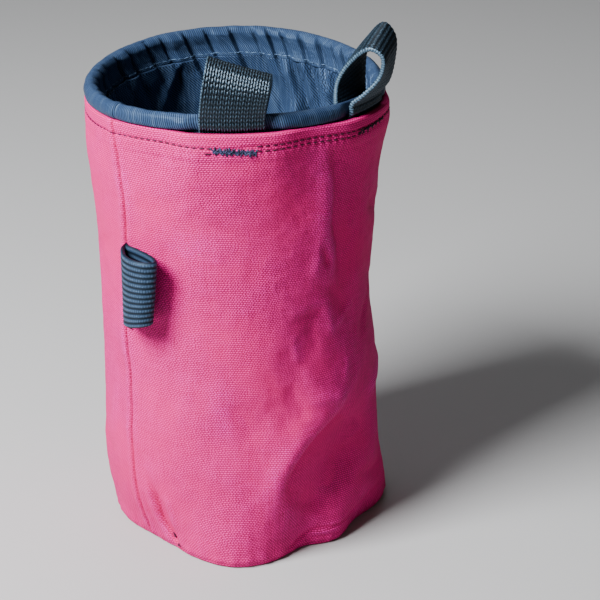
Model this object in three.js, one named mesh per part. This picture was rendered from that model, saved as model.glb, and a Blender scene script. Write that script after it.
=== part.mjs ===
// A climber's chalk bag that stands open on its base. A tube of waxed canvas is sewn to a round canvas
// base, and its top edge is turned in as a hem. A nylon facing is rolled over the stiff rim and hangs
// inside in small gathers, with the nylon lining sewn below it. Two loops of webbing stand over the rim
// for a belt, and a loop of ribbed elastic in the side seam holds a brush.
// Millimetres, +Z up, origin on the floor under the middle of the base. -Y is the front, and an azimuth
// is in degrees from the front towards +X.
import * as THREE from "three";

// Overall sizes.
const bagHeight = 193; // floor to the rim's crown
const rimDiameter = 120; // across the outside of the rolled rim
const waistDiameter = 113; // across the canvas where it is narrowest, a little over halfway up
const baseDiameter = 118; // across the canvas just above the base seam
const rimSaddle = 1.5; // the rim rises this much at the front and back, and drops as much at the sides
const rimAside = -0.9; // the rim's middle stands this far towards +X of the base's

// Cloth.
const canvasThickness = 1.3;
const baseThickness = 1.5;
const nylonThickness = 0.9;
const sewnGap = 0.3; // between two pieces that are sewn together
const slackGap = 1.7; // between the canvas and the lining that hangs in it

// The hem, the rolled rim and the facing below it.
const hemDrop = 6.2; // crown to the folded edge of the hem
const hemDepth = 10; // height of the doubled cloth
const rollWidth = 4.8; // the padded roll, measured along a radius
const rollHeight = 8.6;
const facingDepth = 22; // crown to the seam between the facing and the lining
const skirtTaper = 1.6; // how much further in the facing's lower edge hangs than its top
const gatherDepth = 1.5; // how far a gather stands in from the facing
const gatherCount = 48;

// The base seam, where the canvas turns under.
const baseCurl = 2.6;

// The belt loops.
const webbingWidth = 25;
const webbingThickness = 1.8;
const webbingRootDepth = 18.5; // crown to the sewn ends of the webbing
const webbingEase = 0.5; // the hem stands off the webbing by this much more than a sewn gap
const rollSqueeze = 1.6; // the webbing presses the roll in by this much
const frontLoopRise = 17; // crown to the top of the webbing's middle line
const sideLoopRise = 22.5;

// The brush loop.
const elasticWidth = 33;
const elasticThickness = 1.7;
const elasticReach = 22; // how far the loop stands out of the seam
const elasticBulge = 9.4; // across the loop, outside to outside
const brushLoopHeight = 102.8; // floor to the lower edge of the elastic

// The canvas from the floor to the hem's folded edge. Height is a share of the hem's height. toBase and
// toRim say how far the radius goes from the waist's to the base's and the hem's. Aside and ahead move a
// section towards +X and the front, as shares of the waist's radius.
const canvasSections = [
  { height: 0.0, toBase: 1.0, toRim: 0.0, aside: 0.03, ahead: 0.02 },
  { height: 0.05, toBase: 1.0, toRim: 0.0, aside: 0.019, ahead: 0.02 },
  { height: 0.1, toBase: 0.97, toRim: 0.0, aside: 0.0, ahead: 0.018 },
  { height: 0.16, toBase: 0.9, toRim: 0.0, aside: -0.014, ahead: 0.015 },
  { height: 0.26, toBase: 0.72, toRim: 0.0, aside: -0.017, ahead: 0.01 },
  { height: 0.41, toBase: 0.34, toRim: 0.0, aside: -0.012, ahead: 0.0 },
  { height: 0.51, toBase: 0.05, toRim: 0.0, aside: -0.03, ahead: 0.0 },
  { height: 0.6, toBase: 0.0, toRim: 0.02, aside: -0.027, ahead: 0.0 },
  { height: 0.75, toBase: 0.0, toRim: 0.34, aside: -0.019, ahead: 0.0 },
  { height: 0.88, toBase: 0.0, toRim: 0.7, aside: -0.028, ahead: 0.0 },
  { height: 0.93, toBase: 0.0, toRim: 0.9, aside: -0.012, ahead: 0.0 },
  { height: 0.96, toBase: 0.0, toRim: 1.0, aside: 0.0, ahead: 0.0 },
  { height: 1.0, toBase: 0.0, toRim: 1.0, aside: 0.0, ahead: 0.0 },
];

// Dents and swellings of the canvas. Depth is a share of the waist's radius, inwards if negative. Width
// is in degrees to each side, and length and height are shares of the hem's height. Slant is how many
// degrees the fold leans over the hem's whole height.
const canvasFolds = [
  { name: "front corner of the base", azimuth: -5, height: 0.0, depth: 0.055, width: 13, length: 0.16, slant: 0 },
  { name: "right corner of the base", azimuth: 92, height: 0.03, depth: 0.03, width: 20, length: 0.12, slant: 0 },
  { name: "flat beside the tuck", azimuth: 27, height: 0.0, depth: -0.12, width: 12, length: 0.1, slant: 0 },
  { name: "flat behind the tuck", azimuth: 60, height: 0.0, depth: -0.118, width: 17, length: 0.08, slant: 0 },
  { name: "flat under the side seam", azimuth: -46, height: 0.0, depth: -0.1, width: 21, length: 0.1, slant: 0 },
  { name: "left corner of the base", azimuth: -84, height: 0.0, depth: -0.03, width: 16, length: 0.08, slant: 0 },
  { name: "pucker beside the seam", azimuth: -37, height: 0.08, depth: -0.035, width: 4.5, length: 0.08, slant: -60 },
  { name: "hollow over the tuck", azimuth: 46, height: 0.19, depth: -0.13, width: 16, length: 0.1, slant: 110 },
  { name: "swelling over the hollow", azimuth: 38, height: 0.355, depth: 0.025, width: 12, length: 0.05, slant: 60 },
  { name: "ridge before the hollow", azimuth: 17, height: 0.24, depth: 0.025, width: 9, length: 0.16, slant: 60 },
  { name: "crease over the swelling", azimuth: 27, height: 0.5, depth: -0.022, width: 8, length: 0.1, slant: 70 },
  { name: "front dimple", azimuth: 3, height: 0.34, depth: -0.018, width: 10, length: 0.06, slant: 50 },
  { name: "right waist", azimuth: 88, height: 0.56, depth: -0.018, width: 24, length: 0.13, slant: 0 },
  { name: "crease under the side loop", azimuth: 47, height: 0.66, depth: -0.03, width: 7, length: 0.13, slant: -25 },
  { name: "back left fold", azimuth: 205, height: 0.45, depth: -0.04, width: 11, length: 0.2, slant: 60 },
  { name: "back right fold", azimuth: 150, height: 0.3, depth: -0.04, width: 12, length: 0.16, slant: -60 },
  { name: "back flat of the base", azimuth: 180, height: 0.0, depth: -0.05, width: 24, length: 0.1, slant: 0 },
  { name: "left rear fold", azimuth: 258, height: 0.2, depth: -0.03, width: 12, length: 0.12, slant: 70 },
];

// The side seam's way up the canvas: azimuth in degrees at shares of the hem's height.
const seamRoute = [
  { height: 0.0, azimuth: -40 },
  { height: 0.12, azimuth: -43 },
  { height: 0.26, azimuth: -47 },
  { height: 0.4, azimuth: -51 },
  { height: 0.54, azimuth: -53 },
  { height: 0.72, azimuth: -50 },
  { height: 0.85, azimuth: -48.5 },
  { height: 1.0, azimuth: -52 },
];
const seamMiddle = -50;
const seamReach = 40; // degrees each side over which the cloth's stations follow the seam
// Across the seam, in shares of the canvas's thickness: a ridge over the turned edges, then a groove.
const seamRelief = [
  { offset: -6, raise: 0.0 },
  { offset: -3.8, raise: 0.6 },
  { offset: -1.2, raise: 0.75 },
  { offset: 0.0, raise: -0.15 },
  { offset: 1.4, raise: 0.25 },
  { offset: 4.5, raise: 0.0 },
];

// Folds of the lining, which hang inwards from where it would lie. The columns are the canvas folds'.
const liningFolds = [
  { azimuth: 160, height: 0.72, depth: -0.07, width: 4.5, length: 0.26, slant: -70 },
  { azimuth: 138, height: 0.66, depth: -0.08, width: 5.5, length: 0.24, slant: -60 },
  { azimuth: 118, height: 0.7, depth: -0.06, width: 5, length: 0.22, slant: -50 },
  { azimuth: 184, height: 0.6, depth: -0.06, width: 5.5, length: 0.25, slant: 30 },
  { azimuth: 212, height: 0.7, depth: -0.09, width: 6, length: 0.3, slant: 60 },
  { azimuth: 245, height: 0.6, depth: -0.06, width: 6, length: 0.25, slant: 40 },
  { azimuth: 285, height: 0.5, depth: -0.06, width: 7, length: 0.3, slant: -30 },
  { azimuth: 330, height: 0.55, depth: -0.05, width: 7, length: 0.25, slant: 20 },
  { azimuth: 25, height: 0.5, depth: -0.05, width: 7, length: 0.28, slant: 40 },
  { azimuth: 75, height: 0.55, depth: -0.06, width: 6, length: 0.26, slant: -40 },
];

const fullTurn = 360;
const { degToRad, radToDeg } = THREE.MathUtils;

// A table's column at a given place between its rows, on a smooth curve through them.
function along(rows, placeColumn, column, place) {
  const last = rows.length - 1;
  if (place <= rows[0][placeColumn]) return rows[0][column];
  if (place >= rows[last][placeColumn]) return rows[last][column];
  const i = rows.findIndex((row) => row[placeColumn] > place) - 1;
  const slopeAt = (k) => {
    const before = rows[Math.max(k - 1, 0)];
    const after = rows[Math.min(k + 1, last)];
    return (after[column] - before[column]) / (after[placeColumn] - before[placeColumn]);
  };
  const span = rows[i + 1][placeColumn] - rows[i][placeColumn];
  const t = (place - rows[i][placeColumn]) / span;
  const start = (2 * t ** 3 - 3 * t ** 2 + 1) * rows[i][column] + (t ** 3 - 2 * t ** 2 + t) * span * slopeAt(i);
  const end = (3 * t ** 2 - 2 * t ** 3) * rows[i + 1][column] + (t ** 3 - t ** 2) * span * slopeAt(i + 1);
  return start + end;
}

// The shorter way round from one azimuth to another, in degrees.
function turnBetween(from, to) {
  const turn = (to - from) % fullTurn;
  return turn > fullTurn / 2 ? turn - fullTurn : turn < -fullTurn / 2 ? turn + fullTurn : turn;
}

const bell = (x) => Math.exp(-x * x);

function foldsAt(folds, azimuth, share) {
  return folds.reduce((sum, fold) => {
    const rise = share - fold.height;
    const aside = turnBetween(fold.azimuth + fold.slant * rise, azimuth);
    return sum + fold.depth * bell(aside / fold.width) * bell(rise / fold.length);
  }, 0);
}

// Radii where the pieces meet at the rim, from the roll outwards.
const rollRadius = rimDiameter / 2;
const waistRadius = waistDiameter / 2;
const baseRadius = baseDiameter / 2;
const hemOverRoll = 0.2; // the hem's outside stands this far outside the roll
const hemRadius = rollRadius + hemOverRoll;
const hemInnerRadius = hemRadius - 2 * canvasThickness;
const facingRadius = hemInnerRadius - sewnGap;
const skirtRadius = facingRadius - 1.4; // the inside of the facing below the roll, before its gathers

const saddleAt = (azimuth) => rimSaddle * Math.cos(2 * degToRad(azimuth));
const crownAt = (azimuth) => bagHeight + saddleAt(azimuth);
const hemTopAt = (azimuth) => crownAt(azimuth) - hemDrop;

// Each belt loop's way over the rim. Across goes from beside the roll (0) to inside it (1), and rise is a
// share of the loop's rise. Yaw turns the webbing and tilt lifts its far edge, in degrees, and drift
// moves it along the rim as a share of its width.
const beltLoops = [
  {
    name: "belt_loop_front",
    azimuth: -1.4,
    rise: frontLoopRise,
    arch: [
      { across: -0.05, rise: 0.35, yaw: 0, tilt: -3, drift: 0.03 },
      { across: 0.1, rise: 0.68, yaw: -2, tilt: -9, drift: 0.07 },
      { across: 0.55, rise: 0.95, yaw: -3, tilt: -15, drift: 0.11 },
      { across: 1.15, rise: 1.0, yaw: -3, tilt: -16, drift: 0.13 },
      { across: 1.65, rise: 0.75, yaw: -2, tilt: -12, drift: 0.12 },
      { across: 1.6, rise: 0.3, yaw: 0, tilt: -5, drift: 0.07 },
    ],
  },
  {
    name: "belt_loop_side",
    azimuth: 59.5,
    rise: sideLoopRise,
    arch: [
      { across: -0.5, rise: 0.15, yaw: 4, tilt: 0, drift: 0.06 },
      { across: -0.9, rise: 0.46, yaw: 14, tilt: 1, drift: 0.16 },
      { across: -0.9, rise: 0.86, yaw: 15, tilt: 5, drift: 0.19 },
      { across: -0.15, rise: 1.0, yaw: 11, tilt: 10, drift: 0.19 },
      { across: 0.96, rise: 0.74, yaw: 5, tilt: 15, drift: 0.19 },
      { across: 1.35, rise: 0.42, yaw: 1, tilt: 14, drift: 0.13 },
    ],
  },
];

// How much of the webbing's thickness the hem has to pass over at an azimuth: 1 over a belt loop's root.
const hemEaseAngle = 6; // degrees over which the hem comes back down beside the webbing
const rootHalfAngle = radToDeg((webbingWidth / 2 + 2 * sewnGap) / facingRadius);
function overWebbing(azimuth) {
  const cover = beltLoops.map((loop) => {
    const beyond = Math.abs(turnBetween(loop.azimuth, azimuth)) - rootHalfAngle;
    return 1 - THREE.MathUtils.smoothstep(beyond, 0, hemEaseAngle);
  });
  return Math.max(...cover);
}

// The outside of the canvas away from its seam. Share is of the hem's height at that azimuth.
function canvasRadius(azimuth, share) {
  const section = (column) => along(canvasSections, "height", column, share);
  const angle = degToRad(azimuth);
  const mean =
    waistRadius +
    section("toBase") * (baseRadius - waistRadius) +
    section("toRim") * (hemRadius - waistRadius);
  const aside = waistRadius * section("aside") + rimAside * section("toRim");
  const moved = aside * Math.sin(angle) + waistRadius * section("ahead") * Math.cos(angle);
  const hemTop = hemTopAt(azimuth);
  const belowHem = hemTop * (1 - share) + hemDrop - webbingRootDepth;
  const cover = overWebbing(azimuth) * bell(Math.max(belowHem, 0) / webbingRootDepth);
  const bulge = (webbingThickness + sewnGap + webbingEase) * cover;
  const rise = hemTop * share;
  const under = rise < baseCurl ? baseCurl * (1 - Math.sqrt(1 - (1 - rise / baseCurl) ** 2)) : 0;
  return mean + moved + waistRadius * foldsAt(canvasFolds, azimuth, share) + bulge - under;
}

function seamRise(azimuth, share) {
  const fromSeam = turnBetween(along(seamRoute, "height", "azimuth", share), azimuth);
  return canvasThickness * along(seamRelief, "offset", "raise", fromSeam);
}

const pointAt = (azimuth, radius, z) => [
  radius * Math.sin(degToRad(azimuth)),
  -radius * Math.cos(degToRad(azimuth)),
  z,
];
const rimPointAt = (azimuth, radius, z) => pointAt(azimuth, radius + rimAside * Math.sin(degToRad(azimuth)), z);

// A closed surface from rows of points that run round the part. Each row joins the next, and the last row
// joins the first, unless a pole closes each end.
function lofted(rows, poles = null) {
  const count = rows[0].length;
  const positions = rows.flat(2);
  const faces = [];
  const quad = (a, b, c, d) => faces.push(a, b, c, a, c, d);
  const joins = poles ? rows.length - 1 : rows.length;
  for (let i = 0; i < joins; i++) {
    const here = i * count;
    const next = ((i + 1) % rows.length) * count;
    for (let j = 0; j < count; j++) {
      const k = (j + 1) % count;
      quad(here + j, here + k, next + k, next + j);
    }
  }
  if (poles) {
    const first = positions.length / 3;
    positions.push(...poles.first, ...poles.last);
    const lastRow = (rows.length - 1) * count;
    for (let j = 0; j < count; j++) {
      const k = (j + 1) % count;
      faces.push(first, k, j);
      faces.push(first + 1, lastRow + j, lastRow + k);
    }
  }
  const geometry = new THREE.BufferGeometry();
  geometry.setAttribute("position", new THREE.Float32BufferAttribute(positions, 3));
  geometry.setIndex(faces);
  geometry.computeVertexNormals();
  return geometry;
}

// Evenly spaced azimuths, with more beside the side seam so that its ridge and groove have an edge.
const canvasStationCount = 72;
const seamOffsets = seamRelief.map((row) => row.offset);
const evenStations = Array.from({ length: canvasStationCount }, (_, i) => (i * fullTurn) / canvasStationCount);
const canvasStations = evenStations
  .filter((azimuth) => {
    const fromSeam = turnBetween(seamMiddle, azimuth);
    return fromSeam < seamOffsets[0] || fromSeam > seamOffsets.at(-1);
  })
  .concat(seamOffsets.map((offset) => (seamMiddle + offset + fullTurn) % fullTurn))
  .sort((a, b) => a - b);

// Where a station lies at a height, drawn along with the seam where it is near.
function drawnToSeam(station, share) {
  const drift = along(seamRoute, "height", "azimuth", share) - seamMiddle;
  const fromSeam = turnBetween(seamMiddle, station);
  const near = Math.abs(fromSeam) < -seamOffsets[0] ? 1 : bell((Math.abs(fromSeam) + seamOffsets[0]) / seamReach);
  return station + drift * near;
}

const canvasRowShares = [0, 0.006, 0.016, 0.05, 0.1, 0.16, 0.23, 0.3, 0.38, 0.48, 0.6, 0.72, 0.85];

function canvasBody() {
  const hemFoot = 1 - hemDepth / (bagHeight - hemDrop);
  const hemStep = canvasThickness / (bagHeight - hemDrop);
  const point = (station, share, inset) => {
    const azimuth = drawnToSeam(station, share);
    const rise = inset === 0 ? seamRise(azimuth, share) : 0;
    return pointAt(azimuth, canvasRadius(azimuth, share) + rise - inset, share * hemTopAt(azimuth));
  };
  const row = (share, inset) => canvasStations.map((station) => point(station, share, inset));
  const outside = [...canvasRowShares, hemFoot, 1 - 0.4 * hemStep].map((share) => row(share, 0));
  const fold = [row(1, 0.6 * canvasThickness), row(1, 1.4 * canvasThickness)];
  const hemInside = [row(1 - 0.4 * hemStep, 2 * canvasThickness), row(hemFoot, 2 * canvasThickness)];
  const inside = [...canvasRowShares, hemFoot - 0.6 * hemStep].map((share) => row(share, canvasThickness));
  return lofted([...outside, ...fold, ...hemInside, ...inside.reverse()]);
}

function basePanel() {
  const outline = canvasStations.map((station) => {
    const azimuth = drawnToSeam(station, 0);
    const radius = canvasRadius(azimuth, 0) - canvasThickness - sewnGap;
    return new THREE.Vector2(...pointAt(azimuth, radius, 0));
  });
  return new THREE.ExtrudeGeometry(new THREE.Shape(outline), { depth: baseThickness, bevelEnabled: false });
}

// The facing's section, going round it once. Out is a radius and down is below the crown. Gather and
// squeeze are the shares of a gather's depth and of the webbing's pressure that show there.
const facingSection = [
  { out: facingRadius, down: hemDrop + 2.6, gather: 0, squeeze: 0 },
  { out: facingRadius, down: hemDrop - sewnGap, gather: 0, squeeze: 0 },
  { out: rollRadius, down: 0.5 * rollHeight, gather: 0, squeeze: 1 },
  { out: rollRadius - 0.12 * rollWidth, down: 0.14 * rollHeight, gather: 0, squeeze: 0.8 },
  { out: rollRadius - 0.42 * rollWidth, down: 0, gather: 0, squeeze: 0.3 },
  { out: rollRadius - 0.8 * rollWidth, down: 0.1 * rollHeight, gather: 0.1, squeeze: 0 },
  { out: rollRadius - rollWidth, down: 0.42 * rollHeight, gather: 0.35, squeeze: 0 },
  { out: skirtRadius, down: rollHeight, gather: 0.85, squeeze: 0 },
  { out: skirtRadius - 0.5 * skirtTaper, down: 0.62 * facingDepth, gather: 1, squeeze: 0 },
  { out: skirtRadius - skirtTaper, down: facingDepth, gather: 0.4, squeeze: 0 },
  { out: skirtRadius - skirtTaper + nylonThickness, down: facingDepth, gather: 0.4, squeeze: 0 },
  { out: skirtRadius - 0.5 * skirtTaper + nylonThickness, down: 0.62 * facingDepth, gather: 1, squeeze: 0 },
];

const stationsPerGather = 2;

function rimFacing() {
  const count = gatherCount * stationsPerGather;
  const rows = facingSection.map(({ out, down, gather, squeeze }) =>
    Array.from({ length: count }, (_, i) => {
      const azimuth = (i * fullTurn) / count;
      const fullness = 0.7 + 0.3 * Math.sin(degToRad(3 * azimuth)) * Math.cos(degToRad(5 * azimuth));
      const wave = 0.5 - 0.5 * Math.cos(degToRad(gatherCount * azimuth));
      const radius = out - gatherDepth * gather * fullness * wave - rollSqueeze * squeeze * overWebbing(azimuth);
      return rimPointAt(azimuth, radius, crownAt(azimuth) - down);
    }),
  );
  return lofted(rows);
}

const liningStationCount = 64;
const liningRowShares = [0.03, 0.1, 0.2, 0.32, 0.45, 0.58, 0.7, 0.82];
const liningFloorGap = 1.5;
const liningOverlap = 2; // how far the lining goes up behind the facing
const liningNeck = 1; // how far it follows the facing below the seam

function lining() {
  const topRadius = skirtRadius - skirtTaper + nylonThickness + sewnGap + nylonThickness;
  const stations = Array.from({ length: liningStationCount }, (_, i) => (i * fullTurn) / liningStationCount);
  const point = (azimuth, share, inset) => {
    const z = share * hemTopAt(azimuth);
    const hung = canvasRadius(azimuth, share) - canvasThickness - slackGap;
    const folded = hung + waistRadius * foldsAt(liningFolds, azimuth, share);
    return pointAt(azimuth, folded - inset, z);
  };
  const row = (share, inset) => stations.map((azimuth) => point(azimuth, share, inset));
  const rimRow = (inset, down) =>
    stations.map((azimuth) => rimPointAt(azimuth, topRadius - inset, crownAt(azimuth) - down));
  const topRow = (inset) => rimRow(inset, facingDepth - liningOverlap);
  const neckRow = (inset) => rimRow(inset, facingDepth + liningNeck);
  const floorZ = baseThickness + liningFloorGap;
  const floorRow = (z, inset) => stations.map((azimuth) => [...point(azimuth, liningRowShares[0], inset).slice(0, 2), z]);
  const cornerInset = 3 * nylonThickness;
  const outside = [floorRow(floorZ, cornerInset), ...liningRowShares.map((share) => row(share, 0)), neckRow(0), topRow(0)];
  const inside = [
    floorRow(floorZ + nylonThickness, cornerInset + nylonThickness),
    ...liningRowShares.map((share) => row(share, nylonThickness)),
    neckRow(nylonThickness),
    topRow(nylonThickness),
  ];
  return lofted([...outside, ...inside.reverse()], {
    first: [0, 0, floorZ],
    last: [0, 0, floorZ + nylonThickness],
  });
}

// A flat strip with a rectangular section, from rows of four corners, with a face at each end.
function strip(sections) {
  const sides = sections[0].length;
  const positions = sections.flat(2);
  const faces = [];
  for (let i = 0; i < sections.length - 1; i++) {
    for (let j = 0; j < sides; j++) {
      const k = (j + 1) % sides;
      const [a, b, c, d] = [i * sides + j, i * sides + k, (i + 1) * sides + k, (i + 1) * sides + j];
      faces.push(a, b, c, a, c, d);
    }
  }
  const last = (sections.length - 1) * sides;
  for (let j = 1; j < sides / 2; j++) {
    const [a, b, c, d] = [j - 1, j, sides - 1 - j, sides - j];
    faces.push(d, b, a, d, c, b);
    faces.push(last + a, last + b, last + d, last + b, last + c, last + d);
  }
  const geometry = new THREE.BufferGeometry();
  geometry.setAttribute("position", new THREE.Float32BufferAttribute(positions, 3));
  geometry.setIndex(faces);
  geometry.computeVertexNormals();
  return geometry;
}

const webbingStepsPerRow = 2; // sections of the webbing for each row of its route
const webbingAcross = 4;

// A belt loop turned to the front. It comes up between the hem and the roll, arches over and goes down
// inside the facing. Its roots follow the rim's curve.
function beltLoop(loop) {
  const half = webbingThickness / 2;
  const outerRoot = facingRadius + sewnGap + half;
  const besideRoll = rollRadius - rollSqueeze + sewnGap + half;
  const insideRoll = rollRadius - rollWidth - 0.5 * gatherDepth - sewnGap - half;
  const innerRoot = skirtRadius - gatherDepth - sewnGap - half;
  const still = { yaw: 0, tilt: 0, drift: 0 };
  const route = [
    { out: outerRoot, up: -webbingRootDepth, ...still },
    { out: outerRoot, up: -hemDrop, ...still },
    { out: besideRoll, up: -0.5 * rollHeight, ...still },
    { out: besideRoll, up: -0.1 * rollHeight, ...still },
    ...loop.arch.map((row) => ({
      out: THREE.MathUtils.lerp(besideRoll, insideRoll, row.across),
      up: row.rise * loop.rise,
      yaw: row.yaw,
      tilt: row.tilt,
      drift: row.drift,
    })),
    { out: insideRoll, up: -0.5 * rollHeight, ...still },
    { out: innerRoot, up: -rollHeight, ...still },
    { out: innerRoot - skirtTaper, up: -webbingRootDepth, ...still },
  ];
  const curveOf = (vector) => new THREE.CatmullRomCurve3(route.map(vector), false, "centripetal");
  const middle = curveOf(({ out, up }) => new THREE.Vector3(out, up, 0));
  const posture = curveOf(({ yaw, tilt, drift }) => new THREE.Vector3(degToRad(yaw), degToRad(tilt), drift));
  const steps = webbingStepsPerRow * (route.length - 1);
  const sections = Array.from({ length: steps + 1 }, (_, i) => {
    const at = middle.getPoint(i / steps);
    const heading = middle.getTangent(i / steps);
    const { x: yaw, y: tilt, z: drift } = posture.getPoint(i / steps);
    const flat = THREE.MathUtils.smoothstep(at.y, -0.3 * rollHeight, 0.8 * loop.rise);
    const corner = (side, face) => {
      const aside = side * (webbingWidth / 2);
      const out = at.x + face * half * heading.y;
      const up = at.y - face * half * heading.x;
      const turn = aside / out;
      const crown = crownAt(loop.azimuth + radToDeg(turn));
      const x = THREE.MathUtils.lerp(out * Math.sin(turn), aside * Math.cos(yaw) * Math.cos(tilt), flat);
      const y = THREE.MathUtils.lerp(-out * Math.cos(turn), -out, flat) + aside * Math.sin(yaw);
      return [x + drift * webbingWidth, y, crown + up + aside * Math.sin(tilt)];
    };
    const sides = Array.from({ length: webbingAcross + 1 }, (_, j) => (2 * j) / webbingAcross - 1);
    return [...sides.map((side) => corner(side, 1)), ...sides.reverse().map((side) => corner(side, -1))];
  });
  return strip(sections);
}

// The brush loop seen from above, as shares of its reach along the canvas and of its bulge out of it.
const brushLoopPlan = [
  { along: 0.0, out: 0.09 },
  { along: 0.25, out: 0.08 },
  { along: 0.55, out: 0.1 },
  { along: 0.85, out: 0.22 },
  { along: 0.97, out: 0.46 },
  { along: 0.88, out: 0.78 },
  { along: 0.64, out: 0.94 },
  { along: 0.38, out: 0.86 },
  { along: 0.16, out: 0.58 },
  { along: 0.0, out: 0.31 },
];
const brushLoopTurn = 1.5; // degrees from the seam to the loop's root
const brushLoopSteps = 20;
const brushLoopRows = [
  { up: 0, reach: 0.8, bulge: 0.96, lift: 0.14 },
  { up: 0.5, reach: 0.91, bulge: 0.98, lift: 0.06 },
  { up: 1, reach: 1, bulge: 1, lift: 0 },
];

// The brush loop as it stands at the front, with z up from its lower edge and x from the seam.
function brushLoop() {
  const half = elasticThickness / 2;
  const section = ({ up, reach, bulge, lift }, face) => {
    const plan = new THREE.SplineCurve(
      brushLoopPlan.map((row) => {
        return new THREE.Vector2(row.along * elasticReach * reach, -row.out * elasticBulge * bulge);
      }),
    );
    return Array.from({ length: brushLoopSteps + 1 }, (_, i) => {
      const at = plan.getPointAt(i / brushLoopSteps);
      const heading = plan.getTangentAt(i / brushLoopSteps);
      const x = at.x + face * half * heading.y;
      const y = at.y - face * half * heading.x;
      return [x, y, up * elasticWidth + lift * elasticWidth * (at.x / elasticReach)];
    });
  };
  const outer = brushLoopRows.map((row) => section(row, -1));
  const inner = brushLoopRows.map((row) => section(row, 1)).reverse();
  const sections = Array.from({ length: brushLoopSteps + 1 }, (_, i) =>
    [...outer, ...inner].map((row) => row[i]),
  );
  return strip(sections);
}

const canvasMaterial = new THREE.MeshStandardMaterial({ color: 0xd93a6f, roughness: 0.8, metalness: 0 });
const basePanelMaterial = new THREE.MeshStandardMaterial({ color: 0xc93266, roughness: 0.85, metalness: 0 });
const facingMaterial = new THREE.MeshStandardMaterial({ color: 0x2c3a55, roughness: 0.5, metalness: 0 });
const liningMaterial = new THREE.MeshStandardMaterial({ color: 0x24304a, roughness: 0.5, metalness: 0 });
const webbingMaterial = new THREE.MeshStandardMaterial({ color: 0x15191f, roughness: 0.6, metalness: 0 });
const elasticMaterial = new THREE.MeshStandardMaterial({ color: 0x2f3d52, roughness: 0.75, metalness: 0 });

function piece(name, geometry, material) {
  const mesh = new THREE.Mesh(geometry, material);
  mesh.name = name;
  return mesh;
}

const bag = new THREE.Group();
bag.add(piece("canvas_body", canvasBody(), canvasMaterial));
bag.add(piece("base_panel", basePanel(), basePanelMaterial));
bag.add(piece("rim_facing", rimFacing(), facingMaterial));
bag.add(piece("lining", lining(), liningMaterial));

for (const loop of beltLoops) {
  const mesh = piece(loop.name, beltLoop(loop), webbingMaterial);
  mesh.rotation.z = degToRad(loop.azimuth);
  mesh.position.x = rimAside;
  bag.add(mesh);
}

const brushLoopShares = [0, 0.5, 1].map((up) => (brushLoopHeight + up * elasticWidth) / hemTopAt(seamMiddle));
const seamAzimuths = brushLoopShares.map((share) => along(seamRoute, "height", "azimuth", share));
const brushLoopAzimuth = Math.max(...seamAzimuths) + brushLoopTurn;
const wallUnderLoop = Math.max(...brushLoopShares.map((share) => canvasRadius(brushLoopAzimuth, share)));
const brushMesh = piece("brush_loop", brushLoop(), elasticMaterial);
brushMesh.rotation.z = degToRad(brushLoopAzimuth);
brushMesh.position.set(...pointAt(brushLoopAzimuth, wallUnderLoop + sewnGap, brushLoopHeight));
bag.add(brushMesh);

export default bag;
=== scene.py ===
import math

import bpy
import numpy as np
from mathutils import Matrix, Vector


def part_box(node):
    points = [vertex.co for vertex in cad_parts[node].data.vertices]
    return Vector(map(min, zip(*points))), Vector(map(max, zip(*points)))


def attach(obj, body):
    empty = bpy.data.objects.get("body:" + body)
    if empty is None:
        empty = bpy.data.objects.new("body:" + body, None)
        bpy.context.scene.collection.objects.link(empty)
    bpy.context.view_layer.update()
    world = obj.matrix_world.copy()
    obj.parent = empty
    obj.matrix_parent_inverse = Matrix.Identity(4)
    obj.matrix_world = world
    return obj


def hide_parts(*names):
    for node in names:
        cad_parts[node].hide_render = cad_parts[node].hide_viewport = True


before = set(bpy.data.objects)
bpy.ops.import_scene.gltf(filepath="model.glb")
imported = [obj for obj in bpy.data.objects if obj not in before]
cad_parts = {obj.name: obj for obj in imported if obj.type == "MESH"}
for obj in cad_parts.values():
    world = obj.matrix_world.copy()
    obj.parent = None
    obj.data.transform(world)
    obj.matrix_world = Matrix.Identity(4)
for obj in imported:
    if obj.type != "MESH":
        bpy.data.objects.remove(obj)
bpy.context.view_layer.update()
mm = 0.001

# Lengths are millimetres until a mesh is made. An azimuth is in degrees from the front (-Y) towards +X.
rimLow, rimHigh = (np.array(corner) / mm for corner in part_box("rim_facing"))
bag = {
    "saddle": 1.5,  # the rim is higher at the front and back by this, and lower at the sides
    "crown": rimHigh[2] - 1.5,
    "rimRadius": (rimHigh[0] - rimLow[0]) / 2,
    "rimAside": (rimHigh[0] + rimLow[0]) / 2,
    "waistRadius": 56.5,
    "baseRadius": 59.0,
    "hemDrop": 6.2,
    "hemOverRoll": 0.2,
    "hemDepth": 10.0,
    "facingDepth": 22.0,
    "canvas": 1.3,
    "nylon": 0.7,
    "baseCurl": 2.6,
    "baseThickness": 1.5,
    "sewnGap": 0.3,
    "slackGap": 1.7,
    "rollHeight": 8.6,
    "rollSqueeze": 1.6,
}

# height, towards the base's radius, towards the rim's radius, shift to +X, shift to the front
canvasSections = np.array([
    (0.0, 1.0, 0.0, 0.03, 0.02),
    (0.05, 1.0, 0.0, 0.019, 0.02),
    (0.1, 0.97, 0.0, 0.0, 0.018),
    (0.16, 0.9, 0.0, -0.014, 0.015),
    (0.26, 0.72, 0.0, -0.017, 0.01),
    (0.41, 0.34, 0.0, -0.012, 0.0),
    (0.51, 0.05, 0.0, -0.03, 0.0),
    (0.6, 0.0, 0.02, -0.027, 0.0),
    (0.75, 0.0, 0.34, -0.019, 0.0),
    (0.88, 0.0, 0.7, -0.028, 0.0),
    (0.93, 0.0, 0.9, -0.012, 0.0),
    (0.96, 0.0, 1.0, 0.0, 0.0),
    (1.0, 0.0, 1.0, 0.0, 0.0),
])

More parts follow.
